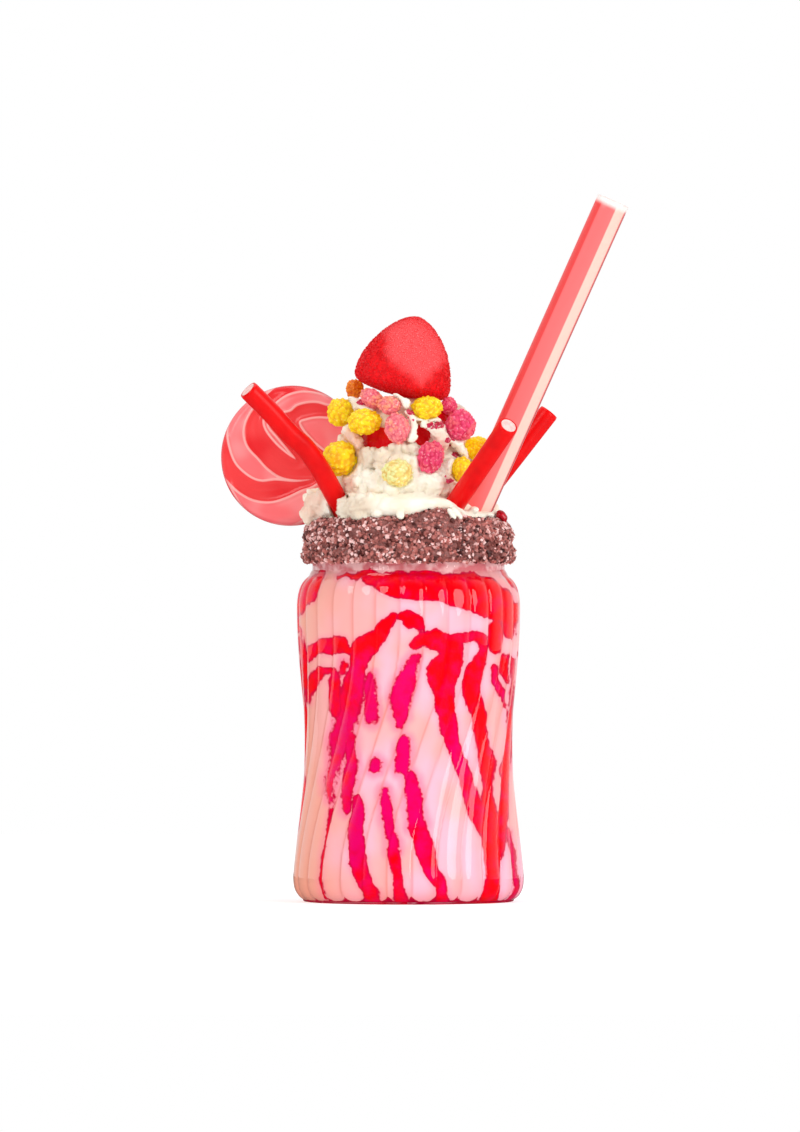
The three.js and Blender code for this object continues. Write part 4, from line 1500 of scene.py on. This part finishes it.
    def press_back(
        self,
        place: Points,
        clusters: Sequence[SugarCluster],
        routes: dict[str, Sequence[Sequence[float]]],
    ) -> Points:
        """Presses the cream back from what shows in front of it.

        Args:
            place: Places on the cream.
            clusters: Clusters that rest on it.
            routes: Routes of the pencils and the straw, by name.

        Returns:
            The places, moved.
        """
        place = place.copy()
        for cluster in clusters:
            middle, form = cluster.frame()
            view = np.array([0, -1.0, 0])
            if middle[1] > 6:
                view = directions(np.array([[middle[0], middle[1], 0]]))[0]
            window = np.stack([np.cross([0, 0, 1], view), [0, 0, 1]])
            near = np.linalg.norm(place - middle, axis=1) < 14
            off = place[near] - middle
            flat = off @ window.T
            oval = np.linalg.inv(window @ form @ form.T @ window.T)
            away = np.sqrt(np.einsum("ij,jk,ik->i", flat, oval, flat))
            ahead = np.maximum(off @ view, 0) * (1 - smoothstep(away, 0.9, 1.07))
            place[near] -= ahead[:, None] * view
        for name, foot, radius in self.clear_from:
            path = smooth_path(routes[name], 160)
            low, high = path.min(axis=0) - 7, path.max(axis=0) + 7
            near = np.all((place > low) & (place < high), axis=1) & (place[:, 1] < 6)
            away = np.hypot(*(place[near][:, None, [0, 2]] - path[None, :, [0, 2]]).transpose(2, 0, 1))
            mark = np.argmin(away, axis=1)
            share = 1 - smoothstep(away[np.arange(len(mark)), mark], radius - 0.1, radius + 0.9)
            share *= smoothstep(path[mark, 2], foot - 0.5, foot + 0.5)
            right, top = self.lobe_over
            ragged = 1.3 * layered_noise(place[near], 2.4, 109)
            share *= np.maximum(
                smoothstep(right + ragged - place[near, 0], -0.3, 0.3),
                smoothstep(place[near, 2] - top - ragged, -0.3, 0.3),
            )
            place[near, 1] += np.maximum(path[mark, 1] - place[near, 1], 0) * share
        return place

    def build(
        self,
        finish: SoftCream,
        clusters: Sequence[SugarCluster],
        routes: dict[str, Sequence[Sequence[float]]],
    ) -> bpy.types.Object:
        """Makes the heap: one skin round all the cream, then torn, pressed back and stained.

        Args:
            finish: Finish of the cream.
            clusters: Clusters that rest on it.
            routes: Routes of the pencils and the straw, by name.

        Returns:
            The cream.
        """
        skin = self.skin()
        place, normal = corner_values(skin, "co") / MM, corner_values(skin, "normal")
        height = place[:, 2]
        bearing = np.arctan2(place[:, 0], -place[:, 1])
        side = smooth_path(self.heap, 70)
        reach = np.interp(height, side[:, 1], side[:, 0]) - self.sunk + self.lobe(height, bearing)
        proud = np.hypot(place[:, 0], place[:, 1]) - reach
        torn = self.torn(place)
        ridges = 0.5 - np.abs(layered_noise(place * [1, 1, 1.3], 3.1, 41))
        fine = 0.4 - np.abs(layered_noise(place, 1.5, 47))
        lumps = 0.4 * layered_noise(place, 7.5, 43) + torn * (1.2 * ridges + 0.5 * fine) + 0.2 * fine
        lumps *= smoothstep(height, 136.5, 138.5)
        sauce = self.sauce(place, proud)
        lumps = np.where(sauce > 0, 0.3 * lumps - 0.5 * (proud < 0.4), lumps)
        place = self.press_back(place + normal * lumps[:, None], clusters, routes)
        skin.vertices.foreach_set("co", (place * MM).ravel())
        skin.update()
        normal = corner_values(skin, "normal")
        # Painted shade: darker where the skin lies in a hollow among its neighbours, and in the patches
        # listed as shaded.
        fold_shade = 0.5 * smoothstep(hollows(skin, place, normal, 14), 0.05, 0.6)
        fold_shade = fold_shade + 0.5 * smoothstep(hollows(skin, place, normal, 60), 0.1, 1.6)
        fold_shade = np.where(height > 137.5, fold_shade, 0)
        fold_shade = np.maximum(fold_shade, self.marked(place, self.shaded))
        # Pink halo of the sauce, and the marks, which on the left are painted shade.
        blush_and_shade = np.maximum(smoothstep(sauce, -2, 0) * 0.8, self.marked(place, self.blush_and_shade_marks))
        skin.name = "cream_heap"
        cream = in_scene(skin, {"sauce": sauce, "fold_shade": fold_shade, "blush_and_shade": blush_and_shade})
        return settle(cream, finish.material(), "whipped_cream", "whipped_cream")


@dataclass
class SauceDrip:
    """Glossy wedge of syrup that has run over the rim at the right and lies against the crumbs."""

    # Rows of how far right and back, height and radius.
    run: Rows = (
        (31.6, -7.5, 140.4, 1.3), (32.9, -7.8, 139.2, 1.7), (34.2, -8, 137.7, 1.5), (35, -8, 136.6, 1.0),
    )

    def build(self, finish: bpy.types.Material) -> bpy.types.Object:
        """Makes the wedge."""
        points, faces = Rope(self.run).shell()
        points = points + 0.4 * layered_noise(points, 2.2, 73)[:, None] * [1, 1, 0.6]
        return settle(solid("sauce_drop", points, faces), finish, "milkshake")


@dataclass
class SugarCluster:
    """One knobbly sugared cluster, in the place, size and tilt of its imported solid."""

    node: str
    packed: bpy.types.Object
    seed: int
    knobs: int = 150
    knob_height: float = 0.15
    size: float = 1.02
    # Strength of the painted glow, which stands in for light.
    glow: float = 0.2
    # Clusters that stand in the straw's shade, which the photo shows bright, and which a stronger painted
    # glow lights.
    shaded: tuple[str, ...] = ("cluster_yellow_5",)
    glow_in_shade: float = 0.5

    def frame(self) -> tuple[Points, Points]:
        """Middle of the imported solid, and the matrix that makes its form out of a ball."""
        corners = np.unique(np.array([c.co[:] for c in self.packed.data.vertices]).round(5), axis=0) / MM
        middle = corners.mean(axis=0)
        spread, axes = np.linalg.eigh(3 * np.cov(corners.T))
        return middle, axes @ np.diag(np.sqrt(spread)) @ axes.T

    def build(self, finishes: dict[str, bpy.types.Material]) -> bpy.types.Object:
        """Makes the cluster.

        Args:
            finishes: Finish for each colour, by the colour's word in the node's name.

        Returns:
            The cluster.
        """
        middle, shape = self.frame()
        form = bmesh.new()
        bmesh.ops.create_icosphere(form, subdivisions=5, radius=1.0)
        unit = np.array([corner.co[:] for corner in form.verts])
        faces = np.array([[corner.index for corner in face.verts] for face in form.faces])
        form.free()
        chance = np.random.default_rng(self.seed)
        tips = directions(spread_on_ball(self.knobs) + chance.normal(0, 0.07, (self.knobs, 3)))
        angle = np.arccos(np.clip(unit @ tips.T, -1, 1))
        width = chance.uniform(0.1, 0.18, self.knobs)
        rise = chance.uniform(0.35, 1.1, self.knobs)
        knob = np.max(rise * np.exp(-((angle / width) ** 2)), axis=1)
        sway = 0.11 * layered_noise(unit * 3, 2.6, self.seed)
        radius = self.size * (1 - self.knob_height * (1 - knob) + sway)
        points = unit * radius[:, None] @ shape + middle
        glow = np.full(len(points), self.glow_in_shade if self.node in self.shaded else self.glow)
        # Painted shade in the hollows between the knobs, and the painted glow.
        tags = {"hollow": np.clip(1 - knob * 1.6, 0, 1), "glow": glow}
        piece = solid(self.node + "_sugared", points, faces, tags)
        colour = self.node.split("_")[1]
        return settle(piece, finishes[colour], "cluster_" + colour, self.node)


@dataclass
class FoamStrawberry:
    """Foam sweet shaped like a strawberry, under fine sugar."""

    lean: float = 13.8
    radius: float = 17.2
    foot: float = 4.8
    crown: float = 24.0
    centre: Triple = (-2.3, -2, 186.9)
    grains: int = 6500
    seed: int = 9

    def surface(self, up: Points, bearing: Points) -> Points:
        """Places on the sweet.

        Args:
            up: From -1 at the foot over 0 at the widest ring to 1 at the tip.
            bearing: Bearing round its own axis.

        Returns:
            Places in millimetres.
        """
        rise = np.sin(up * math.pi / 2)
        below = np.clip(1 - np.abs(rise) ** 2.4, 0, 1) ** (1 / 2.4)
        above = np.clip(1 - np.abs(rise) ** 1.8, 0, 1) ** 0.6
        across = self.radius * np.where(up < 0, below, above)
        place = around(across, rise * np.where(up < 0, self.foot, self.crown), bearing)
        return lean_right(place, self.lean) + self.centre

    def frost_and_light(self, place: Points) -> Points:
        """How much the sugar shows at each place: all of it in one ragged patch on the front, where the light
        falls, so it is partly painted light.
        """
        off = place - self.centre
        right, up = off[:, 0], off[:, 2]
        left_edge = right + 5.2 + 0.6 * np.maximum(up - 15, 0)
        low_edge = np.minimum(0.76 * (up + 0.86 * right - 4.8), 0.74 * (up - 0.9 * (right - 7.5)))
        ragged = 1.2 * layered_noise(place, 2.5, 71)
        patch = smoothstep(np.minimum(left_edge, low_edge) + ragged, -2.6, 2.6)
        return patch * smoothstep(-off[:, 1], -0.1 * self.radius, 0.6 * self.radius)

    def build(self, finish: SugaredFoam) -> list[bpy.types.Object]:
        """Makes the sweet and its sugar.

        Args:
            finish: Finish of the sweet.

        Returns:
            The two pieces.
        """
        up = np.linspace(-0.999, 0.999, 112)[:, None]
        bearing = full_turn(180)
        points, faces = rings_to_shell(self.surface(up, bearing))
        middle = lean_right(np.array([0, 0, 6.0]), self.lean) + self.centre
        relief = noises(points, (0.35, 6, 61), (0.22, 1.1, 67))
        frost_and_light = {"frost_and_light": self.frost_and_light(points)}
        sweet = solid("strawberry_foam", points + directions(points - middle) * relief[:, None], faces, frost_and_light)
        settle(sweet, finish.material(), "foam_strawberry", "foam_strawberry")
        chance = np.random.default_rng(self.seed)
        height = chance.uniform(-self.foot, self.crown, self.grains)
        share = np.where(height < 0, height / self.foot, height / self.crown)
        up = np.arcsin(np.clip(share, -1, 1)) * 2 / math.pi
        under = chance.uniform(size=self.grains) < 0.25
        up = np.where(under, -np.arccos(np.sqrt(chance.uniform(size=self.grains))) * 2 / math.pi, up)
        centres = self.surface(up, chance.uniform(0, 2 * math.pi, self.grains))
        lift = 0.35 * layered_noise(centres, 6, 61) + 0.12
        centres += directions(centres - middle) * lift[:, None]
        sizes = chance.uniform(0.16, 0.36, self.grains)
        # Grains are paler in the lit patch: painted light.
        shades = {"shade": chance.uniform(0, 0.16, self.grains) + 0.7 * self.frost_and_light(centres)}
        sugar = small_solids("strawberry_sugar", Grain.CRUMB, centres, sizes, self.seed, shades)
        return [sweet, settle(sugar, finish.material("strawberry_sugar", tagged=True), "foam_strawberry")]


@dataclass
class Lollipop:
    """Round swirl of boiled sugar on a paper stick."""

    radius: float = 25.6
    half_thick: float = 4.0
    centre: Triple = (-42.4, 18, 160.7)
    stick_end: Triple = (2, 5.5, 113)
    stick_radius: float = 2.0
    ridge: float = 0.55
    # Outlines of the pink arms as they are seen, in shares of the radius to the right and up.
    arms: tuple[Rows, ...] = (
        (
            (-0.2, 0.99), (-0.5, 0.66), (-0.62, 0.45), (-0.64, 0.27), (-0.58, 0.1), (-0.43, -0.06),
            (-0.3, -0.2), (-0.12, -0.32), (0.1, -0.365), (0.34, -0.36), (0.1, -0.4), (-0.19, -0.38),
            (-0.4, -0.4), (-0.58, -0.33), (-0.77, -0.16), (-0.87, 0.06), (-0.92, 0.33), (-0.86, 0.54),
            (-0.6, 0.83),
        ),
        (
            (-0.99, -0.25), (-0.84, -0.41), (-0.68, -0.55), (-0.48, -0.65), (-0.25, -0.67),
            (-0.04, -0.61), (0.17, -0.51), (0.32, -0.46), (0.62, -0.3), (0.8, -0.62), (0.2, -0.97),
            (-0.1, -1.02), (-0.6, -0.85),
        ),
        (
            (0.58, 0.84), (0.39, 0.89), (0.17, 0.91), (-0.02, 0.87), (-0.16, 0.79), (-0.3, 0.66),
            (-0.4, 0.5), (-0.36, 0.33), (-0.2, 0.13), (-0.02, -0.02), (0.1, -0.08), (0.0, 0.05),
            (-0.16, 0.24), (-0.3, 0.42), (-0.2, 0.55), (0.0, 0.6), (0.1, 0.68), (0.25, 0.72),
            (0.39, 0.72), (0.54, 0.68), (0.72, 0.7),
        ),
        (
            (0.86, 0.5), (0.52, 0.535), (0.39, 0.54), (0.25, 0.52), (0.12, 0.46), (0.2, 0.3), (0.4, 0.1),
            (0.6, -0.02), (0.8, 0.0), (1.0, 0.15),
        ),
    )

    def arm_depth(self, flat: Points) -> Points:
        """How far each place on the face is inside a pink arm, in millimetres.

        Args:
            flat: Places to the right and up, in shares of the radius.

        Returns:
            Distances, below 0 outside the arms.
        """
        best = np.full(len(flat), -9.0)
        for arm in self.arms:
            ring = smooth_path([*arm, arm[0]], 90)
            inside = np.zeros(len(flat), bool)
            nearest = np.full(len(flat), 9.0)
            for a, b in zip(ring[:-1], ring[1:]):
                step = b - a
                share = np.clip(((flat - a) @ step) / max(step @ step, 1e-12), 0, 1)
                nearest = np.minimum(nearest, np.hypot(*(flat - a - share[:, None] * step).T))
                crosses = (a[1] > flat[:, 1]) != (b[1] > flat[:, 1])
                rise = step[1] if abs(step[1]) > 1e-12 else 1e-12
                inside ^= crosses & (flat[:, 0] < a[0] + (flat[:, 1] - a[1]) * step[0] / rise)
            best = np.maximum(best, np.where(inside, nearest, -nearest) * self.radius)
        return best

    def build(self, finish: BoiledSugar, paper: PlainSweet) -> list[bpy.types.Object]:
        """Makes the swirl and its stick.

        Args:
            finish: Finish of the sugar.
            paper: Finish of the stick.

        Returns:
            The two pieces.
        """
        centre, end = np.array(self.centre), np.array(self.stick_end)
        fall = (end - centre) / np.linalg.norm(end - centre)
        face = np.array([0, -1.0, 0])
        face = face - fall * (face @ fall)
        face /= np.linalg.norm(face)
        up = np.array([0, 0, 1.0]) - face * face[2]
        up /= np.linalg.norm(up)
        across = np.cross(up, face)
        round_in = 0.8 * self.half_thick
        flat_rows = np.linspace(0.002, 1, 62)[:, None] * (self.radius - round_in)
        edge = np.linspace(0, math.pi, 26)[1:-1]
        front = np.hstack([flat_rows, np.full_like(flat_rows, self.half_thick)])
        rim_radius = self.radius - round_in + round_in * np.sin(edge)
        rim = np.stack([rim_radius, self.half_thick * np.cos(edge)], axis=1)
        back = np.hstack([flat_rows[::-1], np.full_like(flat_rows, -self.half_thick)])
        profile = np.vstack([front, rim, back])
        turn = full_turn(320)
        x = profile[:, :1] * np.cos(turn)
        y = profile[:, :1] * np.sin(turn)
        side = np.sign(profile[:, 1:2])
        flat = np.stack([x.ravel(), y.ravel()], axis=1) / self.radius
        inside = self.arm_depth(flat).reshape(x.shape)
        # The raised thread along each arm's edge, which also carries its painted highlight.
        thread_highlight = np.exp(-(((inside - 0.55) / 0.5) ** 2))
        groove = smoothstep(-inside, 0, 1.5) * smoothstep(-inside, 6, 1.5)
        swell = self.ridge * (thread_highlight + 0.5 * smoothstep(inside, 0, 3) - 0.5 * groove)
        swell *= 1 - smoothstep(profile[:, :1], self.radius - 2.2, self.radius - 0.2)
        height = profile[:, 1:2] + side * swell
        place = centre + x[..., None] * across + y[..., None] * up + height[..., None] * face
        points, faces = rings_to_shell(place)
        # Painted shade round the rounded rim.
        edge_shade = smoothstep(profile[:, 0], self.radius - 1.4, self.radius - 0.1)
        edge_shade = np.repeat(edge_shade, len(turn))
        tags = {"arm": inside.ravel(), "thread_highlight": thread_highlight.ravel(), "rim": edge_shade}
        swirl = solid("swirl", points, faces[:, ::-1], tags)
        settle(swirl, finish.material(), "lollipop", "lollipop")
        path = smooth_path([centre + fall * (self.radius + 0.2), end], 24)
        rings = rings_along(path, np.full(24, self.stick_radius), 28)
        poles = np.concatenate([rings[:1] * 0 + path[:1, None], rings, rings[-1:] * 0 + path[-1:, None]])
        stick = solid("paper_stick", *rings_to_shell(poles))
        return [swirl, settle(stick, paper.material(), "lollipop_stick", "lollipop_stick")]


@dataclass
class Straw:
    """Wide drinking straw, open at both ends."""

    mouth: Triple = (73.4, -17.5, 251.7)
    at_rim: Triple = (23, -7.5, 138.8)
    length: float = 246.0
    radius: float = 5.95
    wall: float = 0.5
    # Where each band lies round the straw, in half turns to the right of the front: painted shade on the
    # left, then a painted highlight and a dark painted edge line on the right.
    bands: tuple[tuple[str, float, float], ...] = (
        ("coral", -0.75, -0.2),
        ("cream", 0.09, 0.352),
        ("line", 0.352, 0.47),
    )

    def ends(self) -> Points:
        """Middles of its foot and of its mouth."""
        mouth = np.array(self.mouth)
        rise = mouth - np.array(self.at_rim)
        return np.array([mouth - rise / np.linalg.norm(rise) * self.length, mouth])

    def build(self, finish: BandedPlastic) -> bpy.types.Object:
        """Makes the straw.

        Args:
            finish: Finish of the straw.

        Returns:
            The straw.
        """
        foot, mouth = self.ends()
        rise = (mouth - foot) / self.length
        rows, columns = 34, 144
        path = foot + (mouth - foot) * np.linspace(0, 1, rows)[:, None] ** 0.5
        outside = rings_along(path, np.full(rows, self.radius), columns)
        inside = rings_along(path, np.full(rows, self.radius - self.wall), columns)[::-1]
        rings = np.concatenate([outside, inside, outside[:1]])
        points, faces = rings_to_shell(rings)
        middles = np.repeat(np.concatenate([path, path[::-1], path[:1]]), columns, axis=0)
        away = points - middles
        view = np.array([0, -1.0, 0]) - rise * -rise[1]
        view /= np.linalg.norm(view)
        turn = np.arctan2(away @ np.cross(rise, view), away @ view) / math.pi
        tags = {"cut": (np.abs((middles - mouth) @ rise) < 0.3).astype(float)}
        for name, first, last in self.bands:
            begins = smoothstep(turn, first - 0.01, first + 0.05)
            tags[name] = begins * (1 - smoothstep(turn, last - 0.03, last + 0.02))
        return settle(solid("banded_straw", points, faces, tags), finish.material(), "straw", "straw")


@dataclass
class FilledPencil:
    """Liquorice tube with a pale filling that shows at its ends."""

    side: str
    route: Rows
    radius: float = 3.65
    filling_share: float = 0.78

    def build(self, skin: bpy.types.Material, filling: bpy.types.Material) -> list[bpy.types.Object]:
        """Makes the tube and its filling.

        Args:
            skin: Finish of the tube.
            filling: Finish of the filling.

        Returns:
            The two pieces.
        """
        count, columns = 84, 44
        path = smooth_path(self.route, count)
        ahead, behind = directions(np.array([path[-1] - path[-2], path[0] - path[1]]))
        bore = self.radius * self.filling_share
        lip = np.full(count, self.radius)
        lip[[0, -1]] -= 0.15
        outside = rings_along(path, lip, columns)
        outside += 0.06 * layered_noise(outside.reshape(-1, 3), 9, 71).reshape(count, columns, 1)
        mouth = rings_along(path, np.full(count, bore), columns)[::-1]
        rings = np.concatenate([outside, mouth, outside[:1]])
        tube = solid(f"pencil_{self.side}_tube", *rings_to_shell(rings))
        settle(tube, skin, "pencil_skin", f"pencil_{self.side}_skin")
        grown = np.vstack([path[0] + behind * 0.1, path[1:-1], path[-1] + ahead * 0.1])
        shares = np.array([0.004, 0.3, 0.6, 0.9])
        bulge = 0.15 * (1 - shares)
        closing = (rings_along(grown, np.full(count, bore * share), columns) for share in shares)
        caps = np.array([rings[[0, -1]] for rings in closing])
        start = caps[:, 0] + behind * bulge[:, None, None]
        finish = (caps[:, 1] + ahead * bulge[:, None, None])[::-1]
        plug = rings_along(grown, np.full(count, bore - 0.04), columns)
        core = solid(f"pencil_{self.side}_core", *rings_to_shell(np.concatenate([start, plug, finish])))
        return [tube, settle(core, filling, "pencil_filling", f"pencil_{self.side}_filling")]


@dataclass
class PinkCrumbs:
    """Small bright crumbs caught in the cream."""

    # Each heap: how far right, its height, its spread and how many crumbs.
    heaps: Rows = (
        (0.3, 175.4, 1.1, 12), (11.2, 171.0, 1.4, 16), (14.6, 166.0, 0.9, 12), (16.8, 160.8, 0.7, 6),
        (-17.0, 179.8, 1.0, 9), (7.2, 171.2, 1.6, 5), (14.4, 151.4, 0.8, 7),
    )
    seed: int = 13

    def build(self, cream: bpy.types.Object, finish: bpy.types.Material) -> bpy.types.Object:
        """Drops the crumbs on the cream.

        Args:
            cream: The heap of cream.
            finish: Finish of the crumbs.

        Returns:
            The crumbs, as one piece.
        """
        chance = np.random.default_rng(self.seed)
        bpy.context.view_layer.update()
        centres = []
        for right, height, spread, count in self.heaps:
            for x, z in chance.normal((right, height), spread * 0.7, (count, 2)):
                hit, place, _, _ = cream.ray_cast(Vector((x, -60, z)) * MM, Vector((0, 1, 0)))
                if hit:
                    centres.append(np.array(place) / MM)
        centres = np.array(centres)
        sizes = chance.uniform(0.35, 0.85, len(centres))
        crumbs = small_solids("pink_crumbs", Grain.CRYSTAL, centres, sizes, self.seed, {"hollow": sizes})
        return settle(crumbs, finish, "cluster_magenta")


@dataclass
class Studio:
    """White table, soft light and the camera."""

    middle: Triple = (-3.06, 0.0, 120.8)
    distance: float = 4000.0
    frame_height: float = 407.5
    film: float = 36.0
    table_half: float = 1000.0
    table_glow: float = 0.2
    room_on_solids: float = 0.66
    gloss_behind: float = 0.8
    gloss_in_front: float = 0.05
    # How far back a reflection looks, from -1 to 1, where the room starts and ends to brighten.
    gloss_from: float = -0.6
    gloss_to: float = 0.5
    # Each lamp: its name, place, size and power.
    lamps: tuple[tuple[str, Triple, float, float], ...] = (
        ("key", (-900.0, -1100.0, 1100.0), 900.0, 8.5),
        ("fill", (1100.0, -900.0, 500.0), 900.0, 8.5),
        ("top", (100.0, 200.0, 1500.0), 900.0, 4.0),
    )

    def floor(self) -> None:
        """Makes the white table top, which shows dim in reflections."""
        half = self.table_half
        points = np.array([(-half, -half, 0), (half, -half, 0), (half, half, 0), (-half, half, 0)])
        table = solid("table_top", points, np.array([[0, 1, 2, 3]]))
        bench = Bench("white_table")
        surface = bench.surface(
            Base_Color=(0.96, 0.96, 0.96, 1),
            Roughness=0.9,
            Specular_IOR_Level=0.0,
            Emission_Color=(1, 1, 1, 1),
            Emission_Strength=self.table_glow,
        )
        dim = bench.add("BsdfDiffuse", {"Color": (0.1, 0.1, 0.1, 1)})
        reflected = bench.add("LightPath").outputs["Is Glossy Ray"]
        table.data.materials.append(bench.done(bench.swap(reflected, surface, dim)))

    def light(self) -> None:
        """Lights the scene: a white room, darker in front in reflections, and large soft lamps."""
        bench = Bench("white_room", "worlds")
        rays = bench.add("LightPath").outputs
        back = bench.add("SeparateXYZ", {0: bench.add("TexCoord").outputs["Generated"]}).outputs["Y"]
        reach = {"Value": back, "From Min": self.gloss_from, "From Max": self.gloss_to}
        reach |= {"To Min": self.gloss_in_front, "To Max": self.gloss_behind}
        gloss = bench.add("MapRange", reach, interpolation_type="SMOOTHSTEP").outputs[0]
        strength = 1.0
        for ray, value in (("Is Diffuse Ray", self.room_on_solids), ("Is Glossy Ray", gloss)):
            strength = bench.add("Mix", {0: rays[ray], 2: strength, 3: value}).outputs[0]
        room = bench.add("Background", {"Color": (1, 1, 1, 1), "Strength": strength})
        bpy.context.scene.world = bench.done(room, "OutputWorld")
        for name, place, size, power in self.lamps:
            lamp = bpy.data.lights.new(name, "AREA")
            lamp.shape = "DISK"
            lamp.size = size * MM
            lamp.energy = power
            holder = bpy.data.objects.new(name, lamp)
            holder.location = Vector(place) * MM
            aim = Vector(self.middle) * MM - holder.location
            holder.rotation_euler = aim.to_track_quat("-Z", "Y").to_euler()
            bpy.context.scene.collection.objects.link(holder)

    def camera(self) -> None:
        """Sets the camera at the photograph's height, level and far off."""
        lens = bpy.data.cameras.new("camera")
        lens.sensor_fit = "VERTICAL"
        lens.sensor_height = self.film
        lens.lens = self.distance * self.film / self.frame_height
        lens.clip_end = 100
        holder = bpy.data.objects.new("camera", lens)
        holder.location = Vector((self.middle[0], self.middle[1] - self.distance, self.middle[2])) * MM
        holder.rotation_euler = (math.pi / 2, 0, 0)
        bpy.context.scene.collection.objects.link(holder)
        bpy.context.scene.camera = holder

    def build(self) -> None:
        """Sets the whole studio, and plain colours on the film."""
        self.camera()
        self.floor()
        self.light()
        bpy.context.scene.view_settings.view_transform = "Standard"
        bpy.context.scene.view_settings.look = "None"


CLUSTER_FINISHES = (
    PuffedSugar(
        "yellow", tint(236, 206, 8), tint(222, 160, 0), tint(234, 182, 20), 0.5, tint(250, 240, 120), 0.5
    ),
    PuffedSugar(
        "orange", tint(226, 128, 10), tint(194, 78, 4), tint(210, 100, 8), 0.7, tint(250, 196, 90), 0.25
    ),
    PuffedSugar(
        "pink", tint(226, 114, 122), tint(206, 80, 100), tint(238, 160, 104), 0.6, tint(252, 200, 196), 0.5
    ),
    PuffedSugar(
        "magenta", tint(218, 62, 106), tint(194, 20, 68), tint(222, 112, 104), 0.5, tint(248, 176, 190), 0.45
    ),
    PuffedSugar(
        "green", tint(216, 214, 144), tint(208, 174, 88), tint(238, 202, 100), 0.7, tint(250, 246, 214), 0.5
    ),
)

PENCIL_ROUTES: dict[str, Rows] = {
    "left": (
        (-18.8, -7.5, 115), (-21, -9.5, 131), (-22.9, -11, 138.9), (-26.3, -15, 146), (-32, -21.5, 156.1),
        (-37.1, -25.5, 163.2), (-42.7, -29, 168.3), (-49, -32.5, 175.4), (-57.3, -36, 183.7),
    ),
    "front": ((3.1, -1.9, 123), (35.5, -50, 170.7)),
    "back": ((9.1, 7.5, 123), (50.8, 16, 176.4)),
}


def main() -> None:
    """Builds every piece in turn."""
    logging.basicConfig(level=logging.INFO, format="%(name)s: %(message)s")
    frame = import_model()
    Studio().build()
    jar = FlutedJar()
    jar.build(PressedGlass())
    Milkshake(jar).build(StreakedShake())
    CrumbRing().build(SugarCrumbs())
    nodes = sorted(node for node in frame["nodes"] if node.startswith("cluster_"))
    clusters = [SugarCluster(node, frame["nodes"][node], 100 + seed) for seed, node in enumerate(nodes)]
    straw = Straw()
    cream = CreamHeap().build(SoftCream(), clusters, {**PENCIL_ROUTES, "straw": straw.ends()})
    sauce = PlainSweet("dark_sauce", tint(160, 8, 24), tint(196, 14, 40), 2, 0.15, 3, 0.1, 0.5).material()
    SauceDrip().build(sauce)
    FoamStrawberry().build(SugaredFoam())
    finishes = {finish.name: finish.material() for finish in CLUSTER_FINISHES}
    for cluster in clusters:
        cluster.build(finishes)
    paper = PlainSweet("rolled_paper", tint(250, 247, 240), tint(240, 234, 224), 5, 0.6, 0.4, 0.04)
    Lollipop().build(BoiledSugar(), paper)
    straw.build(BandedPlastic())
    skin = PlainSweet("liquorice_skin", tint(228, 6, 8), tint(214, 2, 6), 8, 0.3, 4, 0.05, 0.18).material()
    filling = PlainSweet("fondant", tint(246, 208, 202), tint(236, 184, 180), 1.5, 0.6, 0.5, 0.12).material()
    for side, route in PENCIL_ROUTES.items():
        FilledPencil(side, route).build(skin, filling)
    PinkCrumbs().build(cream, finishes["magenta"])
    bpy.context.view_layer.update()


if __name__ == "__main__":
    main()
